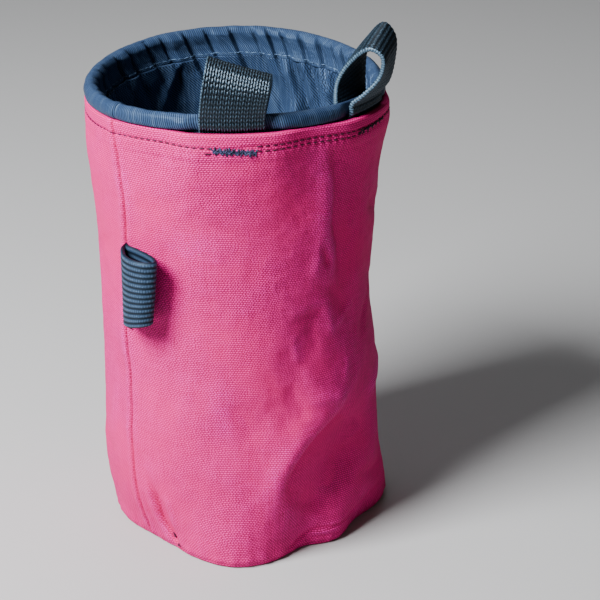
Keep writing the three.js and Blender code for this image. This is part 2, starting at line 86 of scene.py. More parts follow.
# azimuth, height, depth, width, length and slant of the large folds, as the solid has them
canvasFolds = np.array([
    (-5, 0.0, 0.055, 13, 0.16, 0),
    (92, 0.03, 0.03, 20, 0.12, 0),
    (27, 0.0, -0.12, 12, 0.1, 0),
    (60, 0.0, -0.118, 17, 0.08, 0),
    (-46, 0.0, -0.1, 21, 0.1, 0),
    (-84, 0.0, -0.03, 16, 0.08, 0),
    (-37, 0.08, -0.035, 4.5, 0.08, -60),
    (46, 0.19, -0.13, 16, 0.1, 110),
    (38, 0.355, 0.025, 12, 0.05, 60),
    (17, 0.24, 0.025, 9, 0.16, 60),
    (27, 0.5, -0.022, 8, 0.1, 70),
    (3, 0.34, -0.018, 10, 0.06, 50),
    (88, 0.56, -0.018, 24, 0.13, 0),
    (47, 0.66, -0.03, 7, 0.13, -25),
    (205, 0.45, -0.04, 11, 0.2, 60),
    (150, 0.3, -0.04, 12, 0.16, -60),
    (180, 0.0, -0.05, 24, 0.1, 0),
    (258, 0.2, -0.03, 12, 0.12, 70),
])
liningFolds = np.array([
    (160, 0.72, -0.07, 4.5, 0.26, -70),
    (138, 0.66, -0.08, 5.5, 0.24, -60),
    (118, 0.7, -0.06, 5, 0.22, -50),
    (184, 0.6, -0.06, 5.5, 0.25, 30),
    (212, 0.7, -0.09, 6, 0.3, 60),
    (245, 0.6, -0.06, 6, 0.25, 40),
    (285, 0.5, -0.06, 7, 0.3, -30),
    (330, 0.55, -0.05, 7, 0.25, 20),
    (25, 0.5, -0.05, 7, 0.28, 40),
    (75, 0.55, -0.06, 6, 0.26, -40),
])
seamRoute = np.array([
    (0.0, -48.5), (0.12, -49.0), (0.26, -50.2), (0.4, -51.6), (0.54, -53), (0.72, -50), (0.85, -48.5), (1.0, -52),
])

# Finer creases: azimuth and height at each end, depth in mm (inwards if negative), half width in mm, and how many
# times wider the crease is on the right of its line (seen along it from outside) and narrower on the left
canvasCreases = np.array([
    # beside the pucker at the seam
    (-32.6, 28, -30.6, 12, 0.8, 2.6, 1.0),
    (-43.5, 30, -40.5, 14, 0.5, 2.0, 1.0),
    # around the large hollow on the right
    (24, 26, 40, 17, -0.7, 4.0, 1.0),
    (19, 78, 26, 64, -0.9, 3.2, 1.4),
    (28, 71.5, 46, 67.5, 0.9, 2.8, 0.8),
    (16, 58, 22, 74, -0.3, 4.4, 1.2),
    (26, 90, 38, 80, -0.45, 4.2, 1.0),
    (55, 106, 44, 99, 0.7, 2.0, 1.0),
    (50, 84, 46, 74, 0.5, 2.4, 1.0),
    (21, 100, 23.5, 88, 0.55, 2.2, 1.0),
    (30, 104, 33, 90, -0.6, 2.6, 1.2),
    (36, 112, 42, 96, 0.5, 2.6, 1.0),
    # by the end of the light on the upper right
    (34, 137, 38.5, 127, -1.1, 2.0, 1.0),
    (31, 124, 34, 138, 0.6, 2.4, 1.0),
    (22, 105.5, 37, 108.5, -0.55, 2.0, 1.0),
    (20, 109, 35, 112.5, 0.35, 2.2, 1.0),
    (40, 118, 52, 100, -0.7, 3.4, 1.2),
    # soft waves on the front and left
    (10, 72, 20, 60, -0.6, 3.2, 1.0),
    (-5, 72, 5, 56, -0.6, 3.4, 1.0),
    (6, 92, 14, 76, -0.35, 3.0, 1.0),
    (-14, 152, 2, 143, -0.25, 2.6, 1.0),
    (-30, 122, -10, 116, -0.25, 2.6, 1.0),
    (-28, 60, -20, 84, 0.25, 3.6, 1.0),
    (-18, 104, 4, 96, 0.22, 3.2, 1.0),
    (-22, 40, -4, 30, -0.4, 3.6, 1.0),
    (-70, 40, -60, 70, 0.4, 3.4, 1.0),
    # the sides and the back
    (58, 24, 80, 20, -1.02, 3.5, 1.0),
    (62, 90, 86, 112, -1.36, 3.6, 1.3),
    (64, 146, 88, 136, -1.19, 3.6, 1.0),
    (70, 60, 98, 66, 1.19, 4.0, 1.0),
    (112, 40, 138, 72, -1.7, 4.2, 1.4),
    (120, 120, 150, 96, -1.7, 4.0, 0.8),
    (160, 60, 182, 92, -1.7, 4.2, 1.3),
    (198, 112, 216, 72, -2.04, 3.6, 0.8),
    (226, 40, 246, 64, -1.53, 3.8, 1.2),
    (238, 150, 262, 132, -1.19, 4.0, 1.0),
    (272, 46, 294, 34, -0.68, 3.6, 1.0),
    (276, 120, 296, 132, -0.59, 3.4, 1.0),
])

# Longer creases that bend: azimuth, height and depth along each, its half width on either side of that way, and
# how far the cloth rises beside it, as a share of the depth
bentCreases = [
    {  # the sharp upper edge of the large hollow
        "line": [
            (53, 66, 0), (47, 61, -1.2), (38, 55.5, -2.3), (29.5, 49, -3.1), (24, 43, -3.1), (20.8, 37.5, -2.5),
            (20, 31, -1.2), (23, 26, -0.3), (28, 23, 0),
        ],
        "left": 15.0, "right": 3.0, "bank": 0.45,
    },
    {  # where the light ends on the upper right
        "line": [
            (38, 183, 0), (38.5, 174, -1.0), (41.5, 163, -1.7), (42.5, 152, -1.9), (42.5, 143, -1.7), (45.5, 134, -1.5),
            (46.5, 126, -0.8), (47, 116, 0),
        ],
        "left": 11.0, "right": 2.8, "bank": 0.6,
    },
    {  # the pucker beside the seam
        "line": [(-42, 31, 0), (-40, 25, -1.0), (-38.2, 19.5, -2.8), (-36.5, 13, -3.2), (-34.2, 8, -2.6), (-32, 4.5, -1.2)],
        "left": 1.9, "right": 1.3, "bank": 0.35,
    },
    {  # under the lip that is turned up at the base
        "line": [(28, 7.0, 0), (31.5, 8.4, -1.4), (36, 8.4, -2.0), (42, 7.8, -1.5), (46, 8.2, 0)],
        "left": 1.2, "right": 1.2, "bank": 0.0,
    },
]

# Where wax lies pale on the cloth: azimuth, height and the half sizes in degrees and mm
waxPatches = [(-46.5, 158, 3.2, 9), (-50.5, 9, 2.6, 2.6), (-20, 140, 8, 5), (-8, 70, 5, 12), (-42, 36, 5, 7)]

# The base's edge on the right is turned up in a small lip.
tuckLip = {"azimuth": 37.5, "height": 7.6, "reach": 1.5, "halfAngle": 8.0, "halfHeight": 2.2}

# The lining's own creases, with the columns of the short ones. They hang below the facing's gathers.
liningCreases = np.array([
    (157, 181, 148, 156, 2.6, 2.4, 0.5),
    (152, 181, 143, 150, -2.4, 1.5, 1.6),
    (149, 182, 141, 164, 1.3, 2.0, 0.5),
    (166, 168, 155, 148, 1.4, 1.6, 0.5),
    (142, 181, 134, 158, -1.6, 1.4, 1.6),
    (138, 181, 131, 170, 1.6, 2.0, 0.5),
    (133, 183, 131, 158, 2.4, 2.0, 0.5),
    (128, 182, 124, 158, -2.0, 1.6, 1.6),
    (120, 181, 112, 152, 1.8, 2.6, 0.5),
    (176, 180, 170, 140, -1.0, 4.0, 1.0),
    (207, 182, 217, 160, 2.4, 2.8, 0.5),
    (214, 180, 224, 150, -1.6, 4.0, 1.0),
    (190, 181, 196, 142, 1.4, 3.0, 0.5),
    (232, 180, 244, 140, 1.6, 3.2, 0.5),
    (256, 180, 262, 130, 1.4, 3.4, 0.5),
    (104, 178, 96, 130, 1.4, 3.2, 0.5),
    (84, 176, 70, 120, 1.2, 3.4, 0.5),
    (180, 130, 150, 96, 1.4, 3.6, 0.5),
    (140, 120, 118, 88, 1.2, 3.6, 0.5),
    (210, 120, 232, 84, 1.2, 3.8, 0.5),
    (10, 150, 20, 110, 1.2, 3.4, 0.5),
    (320, 160, 305, 100, 1.2, 3.4, 0.5),
])


def rowCurve(rows, column, place):
    # smooth curve through one column of a table, as the solid's source draws it
    x, y = rows[:, 0], rows[:, column]
    last = len(x) - 1
    index = np.clip(np.searchsorted(x, place, side="right") - 1, 0, last - 1)
    before, after = np.maximum(np.arange(last + 1) - 1, 0), np.minimum(np.arange(last + 1) + 1, last)
    slope = (y[after] - y[before]) / (x[after] - x[before])
    span = x[index + 1] - x[index]
    t = np.clip((place - x[index]) / span, 0, 1)
    start = (2 * t**3 - 3 * t**2 + 1) * y[index] + (t**3 - 2 * t**2 + t) * span * slope[index]
    return start + (3 * t**2 - 2 * t**3) * y[index + 1] + (t**3 - t**2) * span * slope[index + 1]


def turnBetween(start, azimuth):
    return (np.asarray(azimuth) - start + 180) % 360 - 180


def bell(x):
    return np.exp(-x * x)


def smoothStep(x, low, high):
    t = np.clip((x - low) / (high - low), 0, 1)
    return t * t * (3 - 2 * t)


def foldsAt(folds, azimuth, share):
    total = 0
    for foldAzimuth, height, depth, width, length, slant in folds:
        rise = share - height
        total = total + depth * bell(turnBetween(foldAzimuth + slant * rise, azimuth) / width) * bell(rise / length)
    return total


def creasesAt(creases, azimuth, height, radius=58.0):
    # each crease is a line on the unrolled cloth, with one side steeper than the other
    total = np.zeros(np.broadcast(azimuth, height).shape)
    perDegree = math.radians(radius)
    for az0, z0, az1, z1, depth, width, lean in creases:
        along = turnBetween(az0, azimuth) * perDegree
        up = height - z0
        dx, dz = float(turnBetween(az0, az1)) * perDegree, z1 - z0
        length = math.hypot(dx, dz)
        run = np.clip((along * dx + up * dz) / length**2, -0.15, 1.15)
        aside = (along * dz - up * dx) / length
        beyond = np.hypot(along - run * dx, up - run * dz)
        side = np.where(aside > 0, width * lean, width / lean)
        ends = smoothStep(run, -0.15, 0.25) * (1 - smoothStep(run, 0.75, 1.15))
        total += depth * bell(np.where(np.abs(aside) < beyond, beyond, np.abs(aside)) / side) * ends
    return total


def bentCreasesAt(creases, azimuth, height, radius=58.0):
    azimuth, height = np.broadcast_arrays(np.asarray(azimuth, float), np.asarray(height, float))
    total = np.zeros(azimuth.shape)
    perDegree = math.radians(radius)
    for crease in creases:
        line = np.array(crease["line"], float)
        rows = np.column_stack([np.linspace(0, 1, len(line)), line])
        places = np.linspace(0, 1, 60)
        way = [rowCurve(rows, column, places) for column in (1, 2, 3)]
        ahead = np.stack([np.gradient(way[0]) * perDegree, np.gradient(way[1])])
        ahead = ahead / np.hypot(*ahead)
        offsets = [(turnBetween(way[0][k], azimuth) * perDegree, height - way[1][k]) for k in range(len(places))]
        nearest = np.min([x * x + z * z for x, z in offsets], axis=0)
        # the nearest points of the line share their say, so the cloth stays smooth inside a bend
        weight, depth, aside = (np.zeros(azimuth.shape) for _ in range(3))
        for k, (x, z) in enumerate(offsets):
            say = np.exp((nearest - x * x - z * z) / 36)
            weight += say
            depth += say * way[2][k]
            aside += say * (ahead[0][k] * z - ahead[1][k] * x)
        depth, aside = depth / weight, aside / weight
        section = bell(aside / np.where(aside > 0, crease["left"], crease["right"]))
        rise = crease["bank"] * bell((aside + 2.3 * crease["right"]) / (1.7 * crease["right"]))
        total += depth * (section - rise)
    return total


def clothNoise(azimuth, height, cellsAround, cellHeight, seed, lean=0.0):
    # smooth noise that closes on itself round the bag, from -1 to 1
    local = np.random.default_rng(seed)
    rows = int(400 / cellHeight) + 6
    grid = local.uniform(-1, 1, (rows, cellsAround))
    u = ((azimuth + lean * height) % 360) / 360 * cellsAround
    v = height / cellHeight + 2
    iu, iv = np.floor(u).astype(int), np.floor(v).astype(int)
    fu, fv = u - iu, v - iv
    fu, fv = fu**3 * (fu * (6 * fu - 15) + 10), fv**3 * (fv * (6 * fv - 15) + 10)
    iu0, iu1 = iu % cellsAround, (iu + 1) % cellsAround
    iv0, iv1 = iv % rows, (iv + 1) % rows
    low = grid[iv0, iu0] * (1 - fu) + grid[iv0, iu1] * fu
    high = grid[iv1, iu0] * (1 - fu) + grid[iv1, iu1] * fu
    return low * (1 - fv) + high * fv


def crumple(azimuth, height, cellsAround, cellHeight, seed, lean=0.0):
    # small creased facets, as waxed cloth keeps them
    fold = np.abs(clothNoise(azimuth, height, cellsAround, cellHeight, seed, lean))
    return 1 - 2 * np.sqrt(fold)


def crownAt(azimuth):
    return bag["crown"] + bag["saddle"] * np.cos(2 * np.radians(azimuth))


def hemTopAt(azimuth):
    return crownAt(azimuth) - bag["hemDrop"]


def onAxis(azimuth, radius, z):
    angle = np.radians(azimuth)
    azimuth, radius, z = np.broadcast_arrays(azimuth, radius, z)
    return np.stack([radius * np.sin(angle), -radius * np.cos(angle), z], -1)


def onRim(azimuth, radius, z):
    return onAxis(azimuth, radius + bag["rimAside"] * np.sin(np.radians(azimuth)), z)


beltLoops = [
    {
        "node": "belt_loop_front", "name": "frontWebbing", "azimuth": -1.4, "rise": 17.0, "seed": 3,
        "arch": [  # across the roll, rise, yaw, tilt, drift
            (-0.05, 0.35, 0, -3, 0.03),
            (0.1, 0.68, -2, -9, 0.07),
            (0.55, 0.95, -3, -15, 0.11),
            (1.15, 1.0, -3, -16, 0.13),
            (1.65, 0.75, -2, -12, 0.12),
            (1.6, 0.3, 0, -5, 0.07),
        ],
    },
    {
        "node": "belt_loop_side", "name": "sideWebbing", "azimuth": 59.5, "rise": 22.5, "seed": 5,
        "arch": [
            (-0.5, 0.15, 4, 0, 0.06),
            (-0.9, 0.46, 14, 1, 0.16),
            (-0.9, 0.86, 15, 5, 0.19),
            (-0.15, 1.0, 11, 10, 0.19),
            (0.96, 0.74, 5, 15, 0.19),
            (1.35, 0.42, 1, 14, 0.13),
        ],
    },
]
webbing = {"width": 25.0, "thickness": 1.8, "rootDepth": 18.5, "ease": 0.5}
rollRadius = bag["rimRadius"]
hemRadius = rollRadius + bag["hemOverRoll"]
facingRadius = hemRadius - 2 * bag["canvas"] - bag["sewnGap"]
skirtRadius = facingRadius - 1.4
rootHalfAngle = math.degrees((webbing["width"] / 2 + 2 * bag["sewnGap"]) / facingRadius)


def overWebbing(azimuth, fall=6):
    # 1 over the webbing's ends, falling to 0 beside them over that many degrees
    away = [np.abs(turnBetween(loop["azimuth"], azimuth)) - rootHalfAngle for loop in beltLoops]
    covers = [1 - smoothStep(turn, 0, fall) for turn in away]
    return np.maximum(*covers)


def canvasRadius(azimuth, share):
    # the cloth's outside, without its fine creases and its seam
    angle = np.radians(azimuth)
    section = [rowCurve(canvasSections, column, share) for column in range(1, 5)]
    mean = bag["waistRadius"] + section[0] * (bag["baseRadius"] - bag["waistRadius"])
    mean = mean + section[1] * (hemRadius - bag["waistRadius"])
    aside = bag["waistRadius"] * section[2] + bag["rimAside"] * section[1]
    moved = aside * np.sin(angle) + bag["waistRadius"] * section[3] * np.cos(angle)
    hemTop = hemTopAt(azimuth)
    belowHem = np.maximum(hemTop * (1 - share) + bag["hemDrop"] - webbing["rootDepth"], 0)
    cover = overWebbing(azimuth, 17) * bell(belowHem / webbing["rootDepth"])
    bulge = (webbing["thickness"] + bag["sewnGap"] + webbing["ease"]) * cover
    rise = np.clip(hemTop * share / bag["baseCurl"], 0, 1)
    under = bag["baseCurl"] * (1 - np.sqrt(1 - (1 - rise) ** 2))
    return mean + moved + bag["waistRadius"] * foldsAt(canvasFolds, azimuth, share) + bulge - under


def seamAt(share):
    return rowCurve(seamRoute, 1, share)


def fromSeam(azimuth, share, radius=58.0):
    # mm along the cloth from the side seam, growing towards +X
    return turnBetween(0, azimuth - seamAt(share)) * math.radians(radius)


def canvasSkin(azimuth, share):
    # the outside of the cloth in mm with its creases, its seam and its hem, the wear on its ridges, and a mask of
    # painted shade
    height = hemTopAt(azimuth) * share
    radius = canvasRadius(azimuth, share)
    offset = fromSeam(azimuth, share)
    # the seam: a sharp valley, its left bank rolled up and its right bank flatter
    valley = -1.2 * bell((offset + 0.1) / 0.36)
    banks = 0.8 * bell((offset + 2.1) / 1.7) * smoothStep(share, 0.0, 0.04) + 0.4 * bell((offset - 1.9) / 1.8)
    pucker = 0.16 * np.sin(height * 2 * math.pi / 4.7 + 2.1 * clothNoise(azimuth, height, 30, 9, 61))
    seam = valley * (1 - 0.25 * smoothStep(share, 0.9, 1)) + banks * (1 + pucker)
    creases = creasesAt(canvasCreases, azimuth, height) + bentCreasesAt(bentCreases, azimuth, height)
    # waxed cloth: broad waves, then small facets that are stronger in the dents on the right and low down
    broad = 0.26 * clothNoise(azimuth, height, 34, 13, 21, 0.15)
    broad = broad + 0.14 * clothNoise(azimuth, height, 70, 6.5, 22, -0.2)
    handled = bell(turnBetween(42, azimuth) / 30) + smoothStep(share, 0.3, 0.05) * 0.7
    handled = handled + smoothStep(np.abs(turnBetween(180, azimuth)), 110, 60) * 0.5
    rough = 0.45 + 0.55 * np.clip(handled, 0, 1)
    facets = 0.12 * crumple(azimuth, height, 90, 5.5, 23, 0.3) + 0.06 * crumple(azimuth, height, 150, 3.2, 24, -0.3)
    facets = facets * rough
    # puffs where the gathered base pulls at the cloth, and between the stitches of the hem
    hemBelow = hemTopAt(azimuth) - height
    hemPuff = 0.16 * np.sin(turnBetween(0, azimuth) * 2 * math.pi / 3.05 + 0.9 * clothNoise(azimuth, height, 60, 20, 25))
    hemPuff = hemPuff * bell((hemBelow - 6.6) / 2.4)
    row = hemRowDrop(azimuth)
    groove = -0.34 * bell((hemBelow - row) / 0.55) - 0.26 * secondRow(azimuth) * bell((hemBelow - row - 1.9) / 0.5)
    step = -0.22 * smoothStep(hemBelow, bag["hemDepth"] - 0.5, bag["hemDepth"] + 0.9)
    lipRound = -0.55 * (1 - np.sqrt(np.clip(1 - (1 - np.clip(hemBelow / 0.9, 0, 1)) ** 2, 0, 1)))
    basePull = 0.22 * np.sin(np.radians(azimuth) * 58 + 1.5 * clothNoise(azimuth, height, 40, 30, 26))
    basePull = basePull * bell((height - 3.2) / 2.6) - 0.5 * bell((height - 1.7) / 0.8)
    lip = tuckLip["reach"] * bell(turnBetween(tuckLip["azimuth"], azimuth) / tuckLip["halfAngle"])
    under = smoothStep(height, tuckLip["height"] - 1.0 - tuckLip["halfHeight"], tuckLip["height"] - 0.2)
    lip = lip * under * (1 - smoothStep(height, tuckLip["height"] + 0.4, tuckLip["height"] + 4.2))
    fine = creases + broad + facets + lip
    keepFlat = smoothStep(share, 0.0, 0.03) * (1 - 0.75 * smoothStep(share, 0.94, 0.965))
    fine = fine * keepFlat
    relief = seam * (1 - bell(share / 0.012)) + fine + hemPuff + groove + step + lipRound
    relief = relief + basePull * smoothStep(share, 0, 0.006)
    ridges = creases + 0.9 * facets / rough + 0.5 * broad + lip
    wear = np.clip(0.5 + 0.55 * ridges + 0.4 * banks - 0.5 * bell(offset / 0.9), 0, 1)
    for patchAzimuth, patchHeight, halfWidth, halfHeight in waxPatches:
        across = bell(turnBetween(patchAzimuth, azimuth) / halfWidth)
        wear = wear + 0.5 * across * bell((height - patchHeight) / halfHeight)
    wear = np.clip(wear, 0, 1)
    # painted shade: dark is a mask that darkens the seam's valley, the hem's stitch groove, the deeper creases and the
    # tight pucker and lip
    dark = bell((offset + 0.1) / 0.34) * (0.8 + 0.35 * clothNoise(azimuth, height, 90, 4, 27))
    dark = np.clip(dark + 0.5 * bell((hemBelow - row) / 0.5) + 0.4 * smoothStep(-creases, 1.2, 3.2), 0, 1)
    tight = bentCreasesAt(bentCreases[2:], azimuth, height)
    dark = np.maximum(dark, smoothStep(-tight, 0.9, 2.6))
    return onAxis(azimuth, radius + relief, height), wear, dark


def hemRowDrop(azimuth):
    # the hem's stitch row below the cloth's top edge, as it wanders round
    wander = 0.35 * np.sin(np.radians(azimuth) * 3 + 0.6) + 0.2 * np.sin(np.radians(azimuth) * 7 + 2)
    left = smoothStep(-turnBetween(0, azimuth), -6, 6) * (1 - smoothStep(np.abs(turnBetween(0, azimuth)), 80, 110))
    return 4.1 + wander + 1.0 * left


def secondRow(azimuth):
    turn = turnBetween(0, azimuth)
    return smoothStep(turn, -9, -3) * (1 - smoothStep(turn, 62, 72))


def gridQuads(rows, columns, around=True, closed=False):
    # the four-sided faces of a grid of points, and the grid place of each face corner
    r, c = np.meshgrid(np.arange(rows - (not closed)), np.arange(columns - (not around)), indexing="ij")
    r, c = r.ravel(), c.ravel()
    nextRow, nextColumn = (r + 1) % rows, (c + 1) % columns
    quads = np.stack([
        r * columns + c, r * columns + nextColumn, nextRow * columns + nextColumn, nextRow * columns + c,
    ], 1)
    corners = np.stack([r, c, r, c + 1, r + 1, c + 1, r + 1, c], 1).reshape(-1, 4, 2)
    return quads, corners


def makePiece(name, points, quads, uv=None, values=None, extraFaces=()):
    # points in mm; uv for each face corner in mm; values for each vertex by attribute name
    mesh = bpy.data.meshes.new(name)
    loops = list(quads.reshape(-1)) + [index for face in extraFaces for index in face]
    starts = list(range(0, 4 * len(quads), 4))
    at = 4 * len(quads)
    for face in extraFaces:
        starts.append(at)
        at += len(face)
    mesh.vertices.add(len(points))
    mesh.vertices.foreach_set("co", (np.asarray(points, float) * mm).ravel())
    mesh.loops.add(len(loops))
    mesh.loops.foreach_set("vertex_index", loops)
    mesh.polygons.add(len(starts))
    mesh.polygons.foreach_set("loop_start", starts)
    mesh.update(calc_edges=True)
    mesh.validate()
    if uv is not None:
        layer = mesh.uv_layers.new(name="cloth")
        flat = np.zeros((len(mesh.loops), 2))
        flat[:len(uv)] = uv
        layer.data.foreach_set("uv", flat.ravel())
    for label, amount in (values or {}).items():
        mesh.attributes.new(label, "FLOAT", "POINT").data.foreach_set("value", np.asarray(amount, float).ravel())
    mesh.shade_smooth()
    piece = bpy.data.objects.new(name, mesh)
    bpy.context.collection.objects.link(piece)
    return piece


def finishPiece(piece, material, slot, *nodes):
    piece.data.materials.clear()
    piece.data.materials.append(material)
    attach(piece, "root")
    if nodes:
        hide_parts(*nodes)
    count = sum(len(face.vertices) - 2 for face in piece.data.polygons)
    print("made", piece.name, count, "triangles")


def stationAngles(count, places):
    # azimuths round the bag, closer together near the places (azimuth, width, extra)
    fine = np.linspace(-180, 180, 3601)
    density = 1 + sum(extra * bell(turnBetween(at, fine) / width) for at, width, extra in places)
    total = np.concatenate([[0], np.cumsum((density[1:] + density[:-1]) / 2)])
    return np.interp(np.arange(count) / count * total[-1], total, fine)


def closeUp(table):
    # the same table with its first column at the end again, for face corners that wrap round
    return np.concatenate([table, table[:, :1]], 1)


def aroundCloth(points, length):
    # how far round the cloth each point lies, along the cloth's own folds, with the same length for every row
    steps = np.linalg.norm(np.roll(points, -1, axis=1) - points, axis=2)
    walked = np.concatenate([np.zeros((len(points), 1)), np.cumsum(steps, axis=1)], axis=1)
    return walked / walked[:, -1:] * length


def clothUv(across, up, corners):
    return np.stack([across[corners[..., 0], corners[..., 1]], up[corners[..., 0], corners[..., 1]]], -1).reshape(-1, 2)


# Materials
def newMaterial(name):
    material = bpy.data.materials.new(name)
    material.use_nodes = True
    tree = material.node_tree
    tree.nodes.clear()
    shader = tree.nodes.new("ShaderNodeBsdfPrincipled")
    output = tree.nodes.new("ShaderNodeOutputMaterial")
    tree.links.new(shader.outputs["BSDF"], output.inputs["Surface"])
    return material, tree, shader


def add(tree, kind, inputs, **settings):
    made = tree.nodes.new(kind)
    for key, value in settings.items():
        setattr(made, key, value)
    for key, value in inputs.items():
        if isinstance(value, bpy.types.NodeSocket):
            tree.links.new(value, made.inputs[key])
        else:
            made.inputs[key].default_value = value
    return made


def calc(tree, operation, *values, clamp=False):
    inputs = {index: value for index, value in enumerate(values)}
    return add(tree, "ShaderNodeMath", inputs, operation=operation, use_clamp=clamp).outputs[0]


def blend(tree, amount, low, high, kind="MIX"):
    made = add(tree, "ShaderNodeMix", {0: amount, 6: low, 7: high}, data_type="RGBA", blend_type=kind)
    made.clamp_factor = True
    return made.outputs[2]


def noise(tree, place, scale, detail=2.0, roughness=0.5):
    inputs = {"Vector": place, "Scale": scale, "Detail": detail, "Roughness": roughness}
    return add(tree, "ShaderNodeTexNoise", inputs).outputs["Fac"]


def ramp(tree, value, low, high):
    inputs = {"Value": value, "From Min": low, "From Max": high}
    return add(tree, "ShaderNodeMapRange", inputs, clamp=True).outputs[0]


def clothPlace(tree, wander=0.3):
    # the cloth's own coordinates in mm, with the slow wander of hand-cut and worn yarns
    uv = add(tree, "ShaderNodeUVMap", {}, uv_map="cloth").outputs[0]
    drift = add(tree, "ShaderNodeTexNoise", {"Vector": uv, "Scale": 0.11, "Detail": 2.0}).outputs["Color"]
    drift = add(tree, "ShaderNodeVectorMath", {0: drift, 1: (0.5, 0.5, 0.5)}, operation="SUBTRACT").outputs[0]
    drift = add(tree, "ShaderNodeVectorMath", {0: drift, "Scale": wander * 4}, operation="SCALE").outputs[0]
    moved = add(tree, "ShaderNodeVectorMath", {0: uv, 1: drift}, operation="ADD").outputs[0]
    split = add(tree, "ShaderNodeSeparateXYZ", {0: moved})
    return uv, split.outputs[0], split.outputs[1]


def place3(tree, x, y, z=0.0):
    return add(tree, "ShaderNodeCombineXYZ", {0: x, 1: y, 2: z}).outputs[0]


def attribute(tree, name):
    return add(tree, "ShaderNodeAttribute", {}, attribute_name=name).outputs["Fac"]


canvasLook = {
    "row": 0.8, "float": 0.58,  # mm between rows of weft, and from one float to the next in neighbouring rows
    "thread": (0.8, 0.006, 0.235, 1), "gap": (0.24, 0.0008, 0.04, 1), "worn": (0.92, 0.022, 0.44, 1),
    "wax": (0.93, 0.4, 0.7, 1), "deep": (0.66, 0.003, 0.13, 1), "roughness": 0.72, "sheen": 0.0,
}


def makeCanvas(look):
    material, tree, shader = newMaterial("waxedCanvas")
    uv, u, v = clothPlace(tree)
    # plain weave seen from its heavier weft: rows of short floats, each row half a step along from the last
    rowPlace = calc(tree, "DIVIDE", v, look["row"])
    rowNumber = calc(tree, "FLOOR", rowPlace)
    step = calc(tree, "MULTIPLY_ADD", rowNumber, 0.5, calc(tree, "DIVIDE", u, 2 * look["float"]))
    # each row's floats wander and differ in length
    rowSpot = place3(tree, calc(tree, "MULTIPLY", u, 0.35), calc(tree, "MULTIPLY", rowNumber, 3.7))
    rowNoise = noise(tree, rowSpot, 1.0, 2.0)
    step = calc(tree, "MULTIPLY_ADD", rowNoise, 1.1, step)
    across = calc(tree, "ABSOLUTE", calc(tree, "SINE", calc(tree, "MULTIPLY", rowPlace, math.pi)))
    alongRow = calc(tree, "ABSOLUTE", calc(tree, "SINE", calc(tree, "MULTIPLY", step, math.pi)))
    weftFloat = calc(tree, "MULTIPLY", calc(tree, "POWER", across, 0.75), calc(tree, "POWER", alongRow, 0.55))
    weftSpot = place3(tree, calc(tree, "MULTIPLY", u, 0.16), calc(tree, "MULTIPLY", rowNumber, 1.7), 4.0)
    warpSpot = place3(tree, calc(tree, "MULTIPLY", u, 0.55), calc(tree, "MULTIPLY", v, 0.07), 9.0)
    row, column = noise(tree, weftSpot, 1.0, 1.0), noise(tree, warpSpot, 1.0, 1.0)
    yarn = calc(tree, "MULTIPLY_ADD", column, 0.4, calc(tree, "MULTIPLY", row, 0.6))
    height = calc(tree, "MULTIPLY", weftFloat, calc(tree, "MULTIPLY_ADD", yarn, 1.1, 0.45))
    wear, dark = attribute(tree, "wear"), attribute(tree, "dark")
    patch = noise(tree, uv, 0.035, 4.0, 0.6)
    fleck = noise(tree, uv, 0.9, 2.0, 0.6)
    colour = blend(tree, ramp(tree, height, 0.2, 0.8), look["gap"], look["thread"])
    handled = ramp(tree, calc(tree, "MULTIPLY_ADD", patch, 0.5, wear), 0.62, 1.15)
    rubbed = calc(tree, "MULTIPLY", ramp(tree, height, 0.45, 1.05), handled)
    colour = blend(tree, rubbed, colour, look["worn"])
    waxed = ramp(tree, calc(tree, "MULTIPLY_ADD", patch, 0.6, wear), 0.85, 1.2)
    specks = calc(tree, "MULTIPLY", ramp(tree, fleck, 0.66, 0.8), waxed)
    colour = blend(tree, calc(tree, "MULTIPLY", specks, 0.75), colour, look["wax"])
    # painted shade: the dark mask pulls the cloth towards the gap colour, which serves both for the weave's gaps and
    # for the painted shade
    shadeAmount = calc(tree, "MULTIPLY", dark, 0.8)
    colour = blend(tree, shadeAmount, colour, look["gap"])
    stain = ramp(tree, noise(tree, uv, 0.018, 3.0, 0.55), 0.42, 0.62)
    colour = blend(tree, calc(tree, "MULTIPLY", stain, 0.5), colour, look["deep"])
    tree.links.new(colour, shader.inputs["Base Color"])
    fine = calc(tree, "MULTIPLY_ADD", noise(tree, uv, 3.2, 2.0), 0.2, height)
    bump = add(tree, "ShaderNodeBump", {"Strength": 0.8, "Distance": 0.00026, "Height": fine})
    tree.links.new(bump.outputs[0], shader.inputs["Normal"])
    tree.links.new(calc(tree, "MULTIPLY_ADD", wear, -0.12, look["roughness"] + 0.04), shader.inputs["Roughness"])
    shader.inputs["Sheen Weight"].default_value = look["sheen"]
    shader.inputs["Specular IOR Level"].default_value = 0.18
    return material


nylonLook = {
    "pitch": 0.86, "face": (0.026, 0.05, 0.108, 1), "groove": (0.0004, 0.0008, 0.002, 1),
    "lit": (0.09, 0.145, 0.235, 1), "roughness": 0.4, "sheen": 0.0,
}


